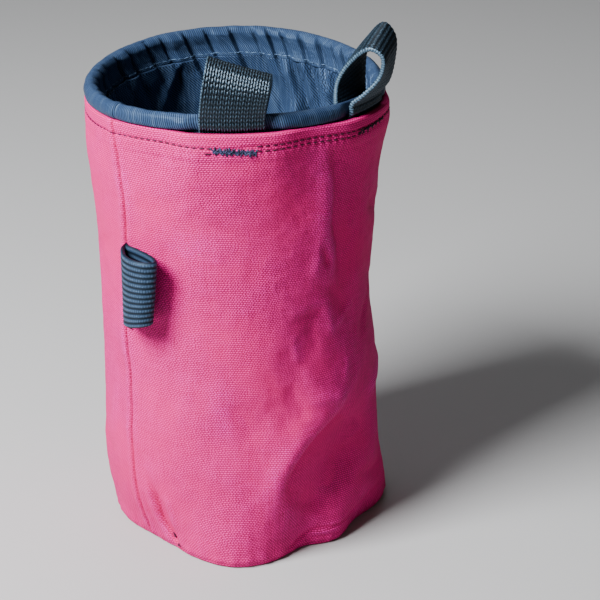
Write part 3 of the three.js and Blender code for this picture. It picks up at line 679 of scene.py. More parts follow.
def makeNylon(name, look, slope):
    # slope is how many mm a wale goes round for each mm up
    material, tree, shader = newMaterial(name)
    uv, u, v = clothPlace(tree, 0.12)
    run = math.pi / look["pitch"] / math.hypot(1, slope)
    phase = calc(tree, "MULTIPLY", calc(tree, "MULTIPLY_ADD", v, slope, u), run)
    wale = calc(tree, "POWER", calc(tree, "ABSOLUTE", calc(tree, "SINE", phase)), 0.7)
    step = calc(tree, "SINE", calc(tree, "MULTIPLY_ADD", v, math.pi / 0.45, calc(tree, "MULTIPLY", u, 2.1)))
    height = calc(tree, "MULTIPLY_ADD", calc(tree, "ABSOLUTE", step), 0.28, wale)
    streak = noise(tree, place3(tree, calc(tree, "MULTIPLY", u, 0.9), calc(tree, "MULTIPLY", v, 0.05)), 1.0, 2.0)
    crest = ramp(tree, height, 0.6, 1.08)
    face = blend(tree, calc(tree, "MULTIPLY", ramp(tree, streak, 0.45, 0.8), 0.5), look["face"], look["lit"])
    colour = blend(tree, crest, look["groove"], face)
    tree.links.new(colour, shader.inputs["Base Color"])
    bump = add(tree, "ShaderNodeBump", {"Strength": 0.5, "Distance": 0.00012, "Height": height})
    tree.links.new(bump.outputs[0], shader.inputs["Normal"])
    dull = calc(tree, "MULTIPLY_ADD", crest, -0.3, look["roughness"] + 0.22)
    tree.links.new(calc(tree, "MULTIPLY_ADD", streak, 0.16, dull), shader.inputs["Roughness"])
    shader.inputs["Sheen Weight"].default_value = look["sheen"]
    shader.inputs["Sheen Roughness"].default_value = 0.4
    shader.inputs["Sheen Tint"].default_value = (0.4, 0.6, 1.0, 1)
    shader.inputs["Specular IOR Level"].default_value = 0.2
    shader.inputs["Specular Tint"].default_value = (0.5, 0.72, 1.0, 1)
    return material


def makeYarn(name, low, high, light, roughness, sheen, specular):
    # narrow weaves whose yarns are in the mesh: "yarn" is their height, painted with sheen on the crests and shade
    # between them, and "beads" marks the bead crests along the selvedges, painted as highlights
    material, tree, shader = newMaterial(name)
    uv = add(tree, "ShaderNodeUVMap", {}, uv_map="cloth").outputs[0]
    grain = noise(tree, uv, 1.6, 3.0, 0.6)
    stretched = add(tree, "ShaderNodeVectorMath", {0: uv, 1: (9.0, 1.2, 1.0)}, operation="MULTIPLY").outputs[0]
    fibre = noise(tree, stretched, 1.0, 2.0)
    # painted sheen and shade: yarn crests take the high colour flecked with the light one, and the low colour fills
    # between them
    crest = ramp(tree, attribute(tree, "yarn"), 0.45, 0.98)
    bright = blend(tree, calc(tree, "MULTIPLY", ramp(tree, grain, 0.45, 0.75), 0.5), high, light)
    colour = blend(tree, crest, low, bright)
    glint = calc(tree, "MULTIPLY", ramp(tree, attribute(tree, "yarn"), 0.8, 1.0), ramp(tree, grain, 0.4, 0.6))
    colour = blend(tree, calc(tree, "MULTIPLY", glint, 0.6), colour, light)
    # painted highlight on the selvedge bead crests, in the light colour
    colour = blend(tree, calc(tree, "MULTIPLY", attribute(tree, "beads"), 0.8), colour, light)
    tree.links.new(colour, shader.inputs["Base Color"])
    bump = add(tree, "ShaderNodeBump", {"Strength": 0.5, "Distance": 0.00012, "Height": fibre})
    tree.links.new(bump.outputs[0], shader.inputs["Normal"])
    tree.links.new(calc(tree, "MULTIPLY_ADD", grain, 0.2, roughness - 0.1), shader.inputs["Roughness"])
    shader.inputs["Sheen Weight"].default_value = sheen
    shader.inputs["Sheen Tint"].default_value = (0.45, 0.65, 1.0, 1)
    shader.inputs["Specular Tint"].default_value = (0.6, 0.8, 1.0, 1)
    shader.inputs["Specular IOR Level"].default_value = specular
    return material


def makeThread(name, dark, light):
    material, tree, shader = newMaterial(name)
    place = add(tree, "ShaderNodeTexCoord", {}).outputs["Object"]
    twist = noise(tree, place, 1400.0, 1.0)
    tree.links.new(blend(tree, ramp(tree, twist, 0.35, 0.65), dark, light), shader.inputs["Base Color"])
    bump = add(tree, "ShaderNodeBump", {"Strength": 0.4, "Distance": 0.0001, "Height": twist})
    tree.links.new(bump.outputs[0], shader.inputs["Normal"])
    shader.inputs["Roughness"].default_value = 0.55
    shader.inputs["Specular IOR Level"].default_value = 0.2
    return material


waxedCanvas = makeCanvas(canvasLook)
rollNylon = makeNylon("rollNylon", nylonLook, 0.0)
liningNylon = makeNylon("liningNylon", nylonLook, 0.95)
# the last colour of each of these yarn materials is its painted highlight
blackWebbing = makeYarn(
    "blackWebbing", (0.0003, 0.0005, 0.0008, 1), (0.012, 0.022, 0.034, 1), (0.1, 0.17, 0.24, 1), 0.34, 0.0, 0.45,
)
ribbedElastic = makeYarn(
    "ribbedElastic", (0.0018, 0.004, 0.009, 1), (0.024, 0.048, 0.09, 1), (0.09, 0.145, 0.23, 1), 0.55, 0.0, 0.25,
)
plumThread = makeThread("plumThread", (0.03, 0.002, 0.012, 1), (0.08, 0.006, 0.03, 1))
navyThread = makeThread("navyThread", (0.004, 0.005, 0.016, 1), (0.045, 0.05, 0.115, 1))
# painted shade: a darker copy of the navy tack thread, for the side tack on the bag's shaded right
shadedNavyThread = makeThread("shadedNavyThread", (0.002, 0.002, 0.006, 1), (0.014, 0.012, 0.03, 1))
# painted sheen: a navy thread painted pale blue for the stitches along the facing's fold
sheenNavyThread = makeThread("sheenNavyThread", (0.02, 0.04, 0.08, 1), (0.1, 0.17, 0.28, 1))
print("materials made")

# Outer tube of canvas
tube = {"stations": 384, "seamAzimuth": -48.0}
angles = stationAngles(tube["stations"], [(tube["seamAzimuth"], 5, 2.2), (0, 70, 0.25), (30, 25, 0.3)])
stepsUp = np.concatenate([
    np.linspace(0, 7, 14, endpoint=False), np.linspace(7, 172, 168, endpoint=False), np.linspace(172, 187.5, 34),
])
shares = (stepsUp / stepsUp[-1])[:, None]
follow = bell(turnBetween(tube["seamAzimuth"], angles) / 22)[None, :]
azimuths = angles[None, :] + (seamAt(shares) - tube["seamAzimuth"]) * follow
outside, wear, dark = canvasSkin(azimuths, shares)
backRows = [(1.0, 2 * bag["canvas"]), (0.975, 2 * bag["canvas"]), (0.948, 2 * bag["canvas"]), (0.946, bag["canvas"])]
backRows += [(share, bag["canvas"]) for share in (0.9, 0.8, 0.7, 0.6, 0.5, 0.4, 0.3, 0.2, 0.1, 0.04, 0.0)]
back = []
for share, thickness in backRows:
    rowAzimuths = angles + (seamAt(share) - tube["seamAzimuth"]) * follow[0]
    rowHeights = hemTopAt(rowAzimuths) * share
    soft = canvasRadius(rowAzimuths, share) + creasesAt(canvasCreases, rowAzimuths, rowHeights) * (share < 0.94)
    back.append(onAxis(rowAzimuths, soft - thickness, rowHeights))
points = np.concatenate([outside, np.array(back)])
quads, corners = gridQuads(len(points), tube["stations"], around=True, closed=True)
across = np.radians(np.append(angles, 180.0))[None, :] * 58 * np.ones((len(points) + 1, 1))
backSteps = [2.6] + [abs(row[0] - last[0]) * 187 + 0.1 for last, row in zip(backRows, backRows[1:])]
upRows = np.concatenate([stepsUp, 187.5 + np.cumsum(backSteps)])
upRows = np.append(upRows, upRows[-1] + 1.3)
up = upRows[:, None] * np.ones((1, tube["stations"] + 1))
pad = np.zeros((len(back), tube["stations"]))
# the dark attribute carries the painted shade mask to the canvas material
canvasPiece = makePiece(
    "canvasTube", points.reshape(-1, 3), quads, clothUv(across, up, corners),
    {"wear": np.concatenate([wear, pad]), "dark": np.concatenate([dark, pad])},
)
finishPiece(canvasPiece, waxedCanvas, "waxed_canvas", "canvas_body")

# Base
basePlate = {"stations": 192, "rings": 40, "edgeHeight": 0.75, "edgeBulge": 1.0015}
baseAngles = np.linspace(-180, 180, basePlate["stations"], endpoint=False)
edge = canvasRadius(baseAngles, 0.0) - bag["canvas"] - bag["sewnGap"]
rings = np.linspace(0.01, 1, basePlate["rings"])


def baseRing(ring, height):
    rise = 0.0 if ring > 0.9 else 0.12 * (1 - ring)
    return onAxis(baseAngles, edge * ring, height + rise)


top = [baseRing(ring, bag["baseThickness"]) for ring in rings[::-1]]
bottom = [baseRing(ring, 0.0) for ring in rings]
bulge = baseRing(1.0, basePlate["edgeHeight"]) * [basePlate["edgeBulge"], basePlate["edgeBulge"], 1]
points = np.array(bottom + [bulge] + top)
quads, corners = gridQuads(len(points), basePlate["stations"])
flatPlan = points[..., 0], points[..., 1]
count = len(points) * basePlate["stations"]
caps = [list(range(basePlate["stations"]))[::-1], list(range(count - basePlate["stations"], count))]
basePiece = makePiece(
    "canvasBase", points.reshape(-1, 3), quads, clothUv(closeUp(flatPlan[0]), closeUp(flatPlan[1]), corners),
    {"wear": np.full(count, 0.35), "dark": np.zeros(count)}, caps,
)
finishPiece(basePiece, waxedCanvas, "waxed_canvas", "base_panel")

# Rim: nylon rolled over the stiffener and gathered inside it
# Azimuths of the pockets between the gathers that show at the far side; the loop goes on round from them.
rim = {"stations": 900, "gather": 2.5, "lean": 8 / 18, "seed": 4, "widest": 10.5, "waleLean": 0.18, "innerLean": 0.95}
pockets = [141.0, 150.4, 159.7, 165.8, 172.2, 182.1, 193.0, 202.9, 213.8, 222.0]
pocketRng = np.random.default_rng(rim["seed"])
while pockets[-1] < 141 + 360 - 6:
    pockets.append(pockets[-1] + rim["widest"] * pocketRng.uniform(0.5, 1.1))
pockets = np.array(pockets[:-1] + [501.0])
pocketDepth = pocketRng.uniform(0.6, 1.3, len(pockets))
pocketReach = pocketRng.uniform(9, 34, len(pockets))
pocketReach[:3] = [30, 38, 34]
pocketDepth[:10] = [1.3, 1.1, 0.7, 1.25, 0.6, 1.1, 0.75, 1.2, 0.6, 1.0]


def gathers(azimuth, drop):
    # 0 in a pocket and 1 on the fold between two of them; the folds lean as they go down
    lean = (np.asarray(azimuth) + rim["lean"] * (drop - 3) - 141) % 360 + 141
    index = np.clip(np.searchsorted(pockets, lean, side="right") - 1, 0, len(pockets) - 2)
    t = np.clip((lean - pockets[index]) / (pockets[index + 1] - pockets[index]), 0, 1)
    # the side of a fold that looks towards +X is short and steep, as pressed pleats lie
    full = np.minimum(np.clip(t / 0.14, 0, 1) ** 0.8, np.clip((1 - t) / 0.34, 0, 1) ** 0.7)
    reach = np.exp(-(np.maximum(np.asarray(drop) - 7, 0) / pocketReach[index]) ** 2)
    return full * pocketDepth[index] * reach


# out, down from the crown, share of the gathers, squeeze under the webbing, small wrinkles
rollSection = np.array([
    (57.1, 9.4, 0.0, 0.0, 0.0),
    (57.15, 6.5, 0.0, 0.0, 0.0),
    (58.5, 5.95, 0.0, 0.4, 0.1),
    (59.75, 5.5, 0.0, 0.9, 0.4),
    (60.2, 4.3, 0.0, 1.0, 0.7),
    (60.1, 2.7, 0.0, 1.0, 0.8),
    (59.5, 1.15, 0.02, 0.9, 0.7),
    (58.5, 0.3, 0.03, 0.55, 0.8),
    (57.5, 0.0, 0.05, 0.3, 1.0),
    (56.6, 0.3, 0.18, 0.1, 1.0),
    (55.95, 1.2, 0.42, 0.0, 1.0),
    (55.9, 2.5, 0.75, 0.0, 1.0),
    (56.5, 4.2, 1.0, 0.0, 0.7),
    (56.7, 6.4, 1.0, 0.0, 0.6),
    (56.2, 8.6, 0.85, 0.0, 0.7),
    (55.7, 10.3, 0.8, 0.0, 0.8),
    (55.3, 11.2, 0.76, 0.0, 0.5),
    (55.1, 11.8, 0.76, 0.0, 0.4),
    (55.35, 12.2, 0.76, 0.0, 0.2),
    (56.1, 13.2, 0.4, 0.0, 0.2),
    (55.6, 22.0, 0.1, 0.0, 0.1),
    (56.2, 22.0, 0.0, 0.0, 0.0),
    (56.5, 14.0, 0.0, 0.0, 0.0),
    (57.0, 11.0, 0.0, 0.0, 0.0),
])
chords = np.concatenate([[0], np.cumsum(np.hypot(np.diff(rollSection[:, 0]), np.diff(rollSection[:, 1])))])
rollTable = np.concatenate([chords[:, None], rollSection], 1)
seenFrom, seenTo = chords[2], chords[18]
rowPlaces = np.concatenate([
    np.linspace(0, seenFrom, 4, endpoint=False), np.linspace(seenFrom, seenTo, 66, endpoint=False),
    np.linspace(seenTo, chords[-1], 9),
])


def rimCloth(azimuth, place):
    out, drop, gather, squeeze, wrinkle = (rowCurve(rollTable, column, place) for column in range(1, 6))
    azimuth, place = np.broadcast_arrays(azimuth, place)
    calm = 1 - 0.92 * overWebbing(azimuth)
    fold = gathers(azimuth, drop)
    radius = out - rim["gather"] * gather * fold * calm - 1.1 * bag["rollSqueeze"] * squeeze * overWebbing(azimuth)
    around = clothNoise(azimuth, place, 60, 2.6, 31, 0.35) * 0.26 + crumple(azimuth, place, 130, 1.9, 32, 0.9) * 0.1
    around = around + clothNoise(azimuth, place * 0.2, 24, 4.0, 33) * 0.32
    # the roll's cloth laps over itself beside the side seam
    seamSide = turnBetween(-51.5, azimuth)
    lap = 0.55 * smoothStep(-seamSide, -0.5, 0.25) * smoothStep(seamSide, -9, -1) * (1 - smoothStep(drop, 3.2, 8))
    lap = lap - 0.35 * bell((seamSide - 0.9) / 0.6) * (1 - smoothStep(drop, 3.2, 8))
    outer = place < chords[9]
    radius = radius + np.where(outer, 1, -1) * (around * wrinkle + lap * (place > chords[1]))
    rise = (around * 0.5 * wrinkle + 0.6 * lap) * bell((drop - 0.2) / 1.2)
    # the gathers also draw small scallops into the crown's inner edge
    rise = rise - 0.3 * gather * (1 - fold) * bell((drop - 1.0) / 1.6)
    return onRim(azimuth, radius, crownAt(azimuth) - drop + rise)


rimAngles = stationAngles(rim["stations"], [(180, 60, 0.35), (-51.5, 3, 1.0)])
points = rimCloth(rimAngles[None, :], rowPlaces[:, None])
quads, corners = gridQuads(len(rowPlaces), rim["stations"], around=True, closed=True)
# the wales run nearly straight over the roll and slant where the cloth hangs inside
inside = np.maximum(rowPlaces - chords[11], 0)
waleShift = np.append(rowPlaces * rim["waleLean"] + (rim["innerLean"] - rim["waleLean"]) * inside, 0)
across = aroundCloth(np.concatenate([points, points[:1]]), 2 * math.pi * 59) + waleShift[:, None]
up = np.append(rowPlaces, rowPlaces[-1] + 1.6)[:, None] * np.ones((1, rim["stations"] + 1))
rimPiece = makePiece("rimRoll", points.reshape(-1, 3), quads, clothUv(across, up, corners))
finishPiece(rimPiece, rollNylon, "nylon_twill", "rim_facing")

# Lining
liner = {"stations": 372, "topRadius": 55.95, "floor": 3.0}


def liningRadius(azimuth, height):
    # the lining's inner face
    drop = crownAt(azimuth) - height
    share = height / hemTopAt(azimuth)
    free = canvasRadius(azimuth, share) - bag["canvas"] - bag["slackGap"] - bag["nylon"]
    free = free + bag["waistRadius"] * foldsAt(liningFolds, azimuth, share)
    free = free + np.minimum(creasesAt(canvasCreases, azimuth, height) + bentCreasesAt(bentCreases, azimuth, height), 0)
    neck = liner["topRadius"] - bag["nylon"]
    radius = neck + (free - neck) * smoothStep(drop, 17, 40)
    small = 0.5 * clothNoise(azimuth, height, 22, 26, 41, 0.5) + 0.3 * clothNoise(azimuth, height, 44, 11, 42, -0.6)
    small = small + 0.16 * crumple(azimuth, height, 60, 12, 43, 0.6)
    legs = 1 - 0.9 * overWebbing(azimuth) * (1 - smoothStep(drop, 19, 26))
    hanging = 0.86 * rim["gather"] * gathers(azimuth, drop)
    folds = creasesAt(liningCreases, azimuth, height, 54.0)
    return radius - (hanging + folds + small * smoothStep(drop, 13, 18)) * legs


linerAngles = stationAngles(liner["stations"], [(155, 36, 0.7)])
rowsDown = np.concatenate([np.linspace(12.1, 60, 96, endpoint=False), np.linspace(60, 188, 78)])
inner = []
for drop in rowsDown:
    height = np.maximum(crownAt(linerAngles) - drop, liner["floor"] + bag["nylon"] + 0.4)
    inner.append((height, liningRadius(linerAngles, height)))
wallIn = [onAxis(linerAngles, radius, height) for height, radius in inner]
wallOut = [onAxis(linerAngles, radius + bag["nylon"], height) for height, radius in inner[::7]]
lowest = inner[-1]
floorRings = np.linspace(0.985, 0.01, 26)


def floorRing(ring, height):
    puff = 0.5 * clothNoise(linerAngles, np.full(len(linerAngles), ring * 60), 18, 12, 44) * (1 - ring)
    return onAxis(linerAngles, lowest[1] * ring, height + np.abs(puff))


floorIn = [floorRing(ring, liner["floor"] + bag["nylon"]) for ring in floorRings]
underside = lowest[1] + bag["nylon"]
floorOut = [onAxis(linerAngles, underside * ring, liner["floor"] + 0 * linerAngles) for ring in floorRings[::-3]]
points = np.array(floorOut + wallOut[::-1] + wallIn + floorIn)
quads, corners = gridQuads(len(points), liner["stations"])
lengths = np.linalg.norm(np.diff(points, axis=0), axis=2).mean(1)
up = np.concatenate([[0], np.cumsum(lengths)])[:, None] * np.ones((1, liner["stations"] + 1))
across = aroundCloth(points, 2 * math.pi * 54)
count = len(points) * liner["stations"]
caps = [list(range(liner["stations"]))[::-1], list(range(count - liner["stations"], count))]
liningPiece = makePiece("liningBag", points.reshape(-1, 3), quads, clothUv(across, up, corners), None, caps)
finishPiece(liningPiece, liningNylon, "nylon_twill", "lining")


# Webbing belt loops
def smoothPath(rows, count):
    # centripetal curve through rows, as the solid's, sampled evenly along its length
    rows = np.asarray(rows, float)
    start, end = 2 * rows[0] - rows[1], 2 * rows[-1] - rows[-2]
    all4 = np.vstack([start, rows, end])
    dense = []
    for i in range(len(rows) - 1):
        p0, p1, p2, p3 = all4[i:i + 4]
        step = [max(np.linalg.norm(b[:2] - a[:2]), 1e-4) ** 0.5 for a, b in ((p0, p1), (p1, p2), (p2, p3))]
        t1 = step[0]
        t2, t3 = t1 + step[1], t1 + step[1] + step[2]
        t = np.linspace(t1, t2, 60, endpoint=(i == len(rows) - 2))[:, None]
        a1 = (t1 - t) / t1 * p0 + t / t1 * p1
        a2 = (t2 - t) / (t2 - t1) * p1 + (t - t1) / (t2 - t1) * p2
        a3 = (t3 - t) / (t3 - t2) * p2 + (t - t2) / (t3 - t2) * p3
        b1 = (t2 - t) / t2 * a1 + t / t2 * a2
        b2 = (t3 - t) / (t3 - t1) * a2 + (t - t1) / (t3 - t1) * a3
        dense.append((t2 - t) / (t2 - t1) * b1 + (t - t1) / (t2 - t1) * b2)
    dense = np.vstack(dense)
    length = np.concatenate([[0], np.cumsum(np.linalg.norm(np.diff(dense[:, :2], axis=0), axis=1))])
    even = np.linspace(0, length[-1], count)
    return np.stack([np.interp(even, length, dense[:, k]) for k in range(dense.shape[1])], 1), even


weaveLook = {"columns": 24, "dash": 1.7, "relief": 0.42, "samples": 5, "rows": 250}


def webbingRelief(side, along):
    # chevron yarns in columns, with beads along both selvedges: (height in mm, yarn, beads); yarn and beads later drive
    # painted sheen, shade and highlights
    half = webbing["width"] / 2
    pitch = webbing["width"] / weaveLook["columns"]
    place = (side + half) / pitch
    column = np.clip(np.floor(place), 0, weaveLook["columns"] - 1)
    local = place - column - 0.5
    slant = np.where(column % 2 == 0, 1, -1)
    phase = along / weaveLook["dash"] + slant * local * 0.8 + 0.08 * np.sin(column * 2.4)
    rib = np.cos(math.pi * np.clip(local * 0.98, -0.5, 0.5)) ** 1.1
    dash = np.abs(np.sin(math.pi * phase)) ** 0.8
    height = rib * (0.12 + 0.88 * dash)
    atEdge = smoothStep(np.abs(side), half - 0.42, half - 0.1)
    bead = np.abs(np.sin(math.pi * along / 0.98 + (side > 0) * 0.8)) ** 0.8
    height = height * (1 - atEdge) + atEdge * bead
    return weaveLook["relief"] * (height - 0.75), height, atEdge * smoothStep(bead, 0.6, 0.95)


def loopFrame(loop, side, row):
    # a point of the webbing's middle layer and the way its face looks, for the row of the smooth route
    along, upward, yaw, tilt, drift, heading = row
    yaw, tilt = np.radians(yaw), np.radians(tilt)
    half = webbing["thickness"] / 2

    def corner(face):
        out = along + face * half * heading[1]
        rise = upward - face * half * heading[0]
        turn = side / out
        crown = crownAt(loop["azimuth"] + np.degrees(turn))
        flat = smoothStep(upward, -0.3 * bag["rollHeight"], 0.8 * loop["rise"])
        aside = side * np.cos(yaw) * np.cos(tilt)
        x = out * np.sin(turn) * (1 - flat) + aside * flat + drift * webbing["width"]
        y = (-out * np.cos(turn) * (1 - flat) - out * flat) + side * np.sin(yaw)
        return np.stack([x, y, crown + rise + side * np.sin(tilt)], -1)
    return corner



def makeLoop(loop):
    rows = [(58.5, -18.5, 0, 0, 0), (58.5, -6.2, 0, 0, 0), (59.6, -4.3, 0, 0, 0), (59.6, -0.86, 0, 0, 0)]
    for step, rise, yaw, tilt, drift in loop["arch"]:
        rows.append((59.6 + (53.25 - 59.6) * step, rise * loop["rise"], yaw, tilt, drift))
    rows += [(53.25, -4.3, 0, 0, 0), (53.25, -8.6, 0, 0, 0), (52.4, -18.5, 0, 0, 0)]
    path, along = smoothPath(rows, weaveLook["rows"])
    heading = np.gradient(path[:, :2], axis=0)
    heading = heading / np.linalg.norm(heading, axis=1)[:, None]
    columns = weaveLook["columns"] * weaveLook["samples"]
    sides = np.linspace(-1, 1, columns + 1) * webbing["width"] / 2
    angle = math.radians(loop["azimuth"])
    turnZ = np.array([[math.cos(angle), -math.sin(angle), 0], [math.sin(angle), math.cos(angle), 0], [0, 0, 1]])
    wobble = np.random.default_rng(loop["seed"]).uniform(-1, 1, 12)
    grid, yarn, beads, across = [], [], [], []
    for k in range(len(path)):
        corner = loopFrame(loop, sides, (*path[k], heading[k]))
        outerFace, innerFace = corner(1), corner(-1)
        normal = outerFace - innerFace
        normal = normal / np.linalg.norm(normal, axis=1)[:, None]
        edge = np.clip(1 - np.abs(np.abs(sides) / (webbing["width"] / 2) - 1) / 0.03, 0, 1)
        sway = 0.25 * np.sin(along[k] / 9 + wobble[0] * 3) * np.sin(sides / 5 + wobble[1] * 3)
        reliefOut, yarnOut, beadOut = webbingRelief(sides, along[k])
        reliefIn, yarnIn, beadIn = webbingRelief(sides, along[k] + 0.86)
        thin = 0.42 * edge
        outerFace = outerFace + normal * (reliefOut - thin + sway)[:, None]
        innerFace = innerFace - normal * (reliefIn - thin - sway)[:, None]
        grid.append(np.concatenate([outerFace, innerFace[::-1]]))
        yarn.append(np.concatenate([yarnOut, yarnIn[::-1]]))
        beads.append(np.concatenate([beadOut, beadIn[::-1]]))
        across.append(np.concatenate([sides, sides[::-1] + 30]))
    points = np.array(grid) @ turnZ.T + np.array([bag["rimAside"], 0, 0])
    stations = points.shape[1]
    quads, corners = gridQuads(len(points), stations)
    acrossTable = closeUp(np.array(across))
    alongTable = along[:, None] * np.ones((1, stations + 1))
    count = len(points) * stations
    caps = [list(range(stations))[::-1], list(range(count - stations, count))]
    # yarn and beads feed the webbing's painted sheen, shade and bead highlights
    piece = makePiece(
        loop["name"], points.reshape(-1, 3), quads, clothUv(acrossTable, alongTable, corners),
        {"yarn": np.array(yarn), "beads": np.array(beads)}, caps,
    )
    finishPiece(piece, blackWebbing, "webbing", loop["node"])


for loop in beltLoops:
    makeLoop(loop)

# Elastic brush loop
elastic = {
    "width": 33.0, "thickness": 1.7, "reach": 22.0, "bulge": 9.4, "ribs": 13, "relief": 0.34, "turn": 1.5, "low": 102.8,
}
plan = np.array([
    (-0.05, -0.16), (0.0, 0.06), (0.25, 0.08), (0.55, 0.1), (0.85, 0.22), (0.97, 0.46), (0.88, 0.78), (0.64, 0.94),
    (0.38, 0.86), (0.16, 0.58), (0.0, 0.25), (-0.06, -0.1),
]) * [elastic["reach"], elastic["bulge"]]
elasticPath, elasticAlong = smoothPath(plan, 150)
heading = np.gradient(elasticPath, axis=0)
heading = heading / np.linalg.norm(heading, axis=1)[:, None]
levels = np.linspace(0, 1, elastic["ribs"] * 9 + 1)
reachAt = np.interp(levels, [0, 0.5, 1], [0.8, 0.91, 1.0])
bulgeAt = np.interp(levels, [0, 0.5, 1], [0.96, 0.98, 1.0])
liftAt = np.interp(levels, [0, 0.5, 1], [0.14, 0.06, 0.0])
ribPhase = levels * elastic["ribs"]
ribs = np.abs(np.sin(math.pi * ribPhase)) ** 0.75
heights = np.linspace(0, 1, 34)
seamHigh = max(float(seamAt((elastic["low"] + elastic["width"] * h) / 187)) for h in heights)
loopAngle = math.radians(seamHigh + elastic["turn"])
grid, yarn, across = [], [], []
for k in range(len(elasticPath)):
    x, y = elasticPath[k]
    nx, ny = heading[k][1], -heading[k][0]
    picks = np.abs(np.sin(elasticAlong[k] * math.pi / 1.05 + math.pi / 2 * (np.floor(ribPhase) % 2))) ** 0.5
    relief = elastic["relief"] * (ribs * (0.66 + 0.34 * picks) - 0.8)
    taper = 0.5 * np.clip(1 - np.minimum(levels, 1 - levels) / 0.03, 0, 1)
    both = []
    for face in (1, -1):
        push = face * (elastic["thickness"] / 2 - taper) + face * relief * (1 if face > 0 else 0.7)
        both.append(np.stack([
            (x + nx * push) * reachAt, -(y + ny * push) * bulgeAt,
            levels * elastic["width"] + liftAt * elastic["width"] * x / elastic["reach"],
        ], -1))
    grid.append(np.concatenate([both[0], both[1][::-1]]))
    # yarn is the ribs' height, which the elastic's material turns into painted sheen on the crests and painted shade in
    # the valleys
    yarn.append(np.concatenate([ribs * (0.55 + 0.45 * picks), ribs[::-1] * 0.8]))
    across.append(np.concatenate([levels * elastic["width"], levels[::-1] * elastic["width"] + 40]))
points = np.array(grid)
turnZ = np.array([
    [math.cos(loopAngle), -math.sin(loopAngle), 0], [math.sin(loopAngle), math.cos(loopAngle), 0], [0, 0, 1],
])
points = points @ turnZ.T
seat = max(float(canvasRadius(math.degrees(loopAngle), (elastic["low"] + elastic["width"] * h) / 187)) for h in heights)
points = points + onAxis(math.degrees(loopAngle), seat + bag["sewnGap"], elastic["low"])
stations = points.shape[1]
quads, corners = gridQuads(len(points), stations)
count = len(points) * stations
caps = [list(range(stations))[::-1], list(range(count - stations, count))]
alongTable = elasticAlong[:, None] * np.ones((1, stations + 1))
brushPiece = makePiece(
    "brushElastic", points.reshape(-1, 3), quads, clothUv(closeUp(np.array(across)), alongTable, corners),
    {"yarn": np.array(yarn), "beads": np.zeros(count)}, caps,
)
finishPiece(brushPiece, ribbedElastic, "elastic", "brush_loop")

# Stitches
def stitchTree():
    # runs one small thread lozenge after another along a path; "slant" turns every other one for a zigzag
    tree = bpy.data.node_groups.new("stitchesAlongPath", "GeometryNodeTree")
    tree.is_modifier = True
    inputs = [
        ("Path", "NodeSocketGeometry", None), ("Pitch", "NodeSocketFloat", 0.003), ("Length", "NodeSocketFloat", 0.002),
        ("Width", "NodeSocketFloat", 0.0007), ("Slant", "NodeSocketFloat", 0.0), ("Unevenness", "NodeSocketFloat", 0.1),
        ("Seed", "NodeSocketInt", 1), ("Thread", "NodeSocketMaterial", None),
    ]
    for label, kind, value in inputs:
        socket = tree.interface.new_socket(label, in_out="INPUT", socket_type=kind)
        if value is not None:
            socket.default_value = value
    tree.interface.new_socket("Stitches", in_out="OUTPUT", socket_type="NodeSocketGeometry")
    start = tree.nodes.new("NodeGroupInput").outputs
    end = tree.nodes.new("NodeGroupOutput")
    curve = add(tree, "GeometryNodeMeshToCurve", {"Mesh": start["Path"]}).outputs[0]
    spacing = {"Curve": curve, "Length": start["Pitch"]}
    points = add(tree, "GeometryNodeResampleCurve", spacing, mode="LENGTH").outputs[0]
    lozenge = add(tree, "GeometryNodeMeshUVSphere", {"Segments": 8, "Rings": 5, "Radius": 0.5}).outputs[0]
    lozenge = add(tree, "GeometryNodeSetShadeSmooth", {0: lozenge}).outputs[0]
    tangent = add(tree, "GeometryNodeInputTangent", {}).outputs[0]
    outward = add(tree, "GeometryNodeInputNamedAttribute", {"Name": "outward"}, data_type="FLOAT_VECTOR").outputs[0]
    along = add(tree, "FunctionNodeAlignRotationToVector", {"Vector": tangent}, axis="X").outputs[0]
    facing = {"Rotation": along, "Vector": outward}
    upright = add(tree, "FunctionNodeAlignRotationToVector", facing, axis="Z", pivot_axis="X").outputs[0]
    index = add(tree, "GeometryNodeInputIndex", {}).outputs[0]
    parity = calc(tree, "MULTIPLY_ADD", calc(tree, "MODULO", index, 2.0), 2.0, -1.0)
    chance = {2: -1.0, 3: 1.0, "ID": index, "Seed": start["Seed"]}
    jitter = add(tree, "FunctionNodeRandomValue", chance, data_type="FLOAT").outputs[1]
    jitter = calc(tree, "MULTIPLY", jitter, start["Unevenness"])
    angle = calc(tree, "MULTIPLY_ADD", parity, start["Slant"], jitter)
    turn = add(tree, "FunctionNodeAxisAngleToRotation", {"Axis": (0, 0, 1), "Angle": angle}).outputs[0]
    spin = {"Rotation": upright, "Rotate By": turn}
    turned = add(tree, "FunctionNodeRotateRotation", spin, rotation_space="LOCAL").outputs[0]
    longer = calc(tree, "MULTIPLY", start["Length"], calc(tree, "ADD", jitter, 1.0))
    size = add(tree, "ShaderNodeCombineXYZ", {0: longer, 1: start["Width"], 2: start["Width"]}).outputs[0]
    placing = {"Points": points, "Instance": lozenge, "Rotation": turned, "Scale": size}
    placed = add(tree, "GeometryNodeInstanceOnPoints", placing).outputs[0]
    real = add(tree, "GeometryNodeRealizeInstances", {0: placed}).outputs[0]
    threaded = add(tree, "GeometryNodeSetMaterial", {"Geometry": real, "Material": start["Thread"]}).outputs[0]
    tree.links.new(threaded, end.inputs[0])
    return tree


stitching = stitchTree()


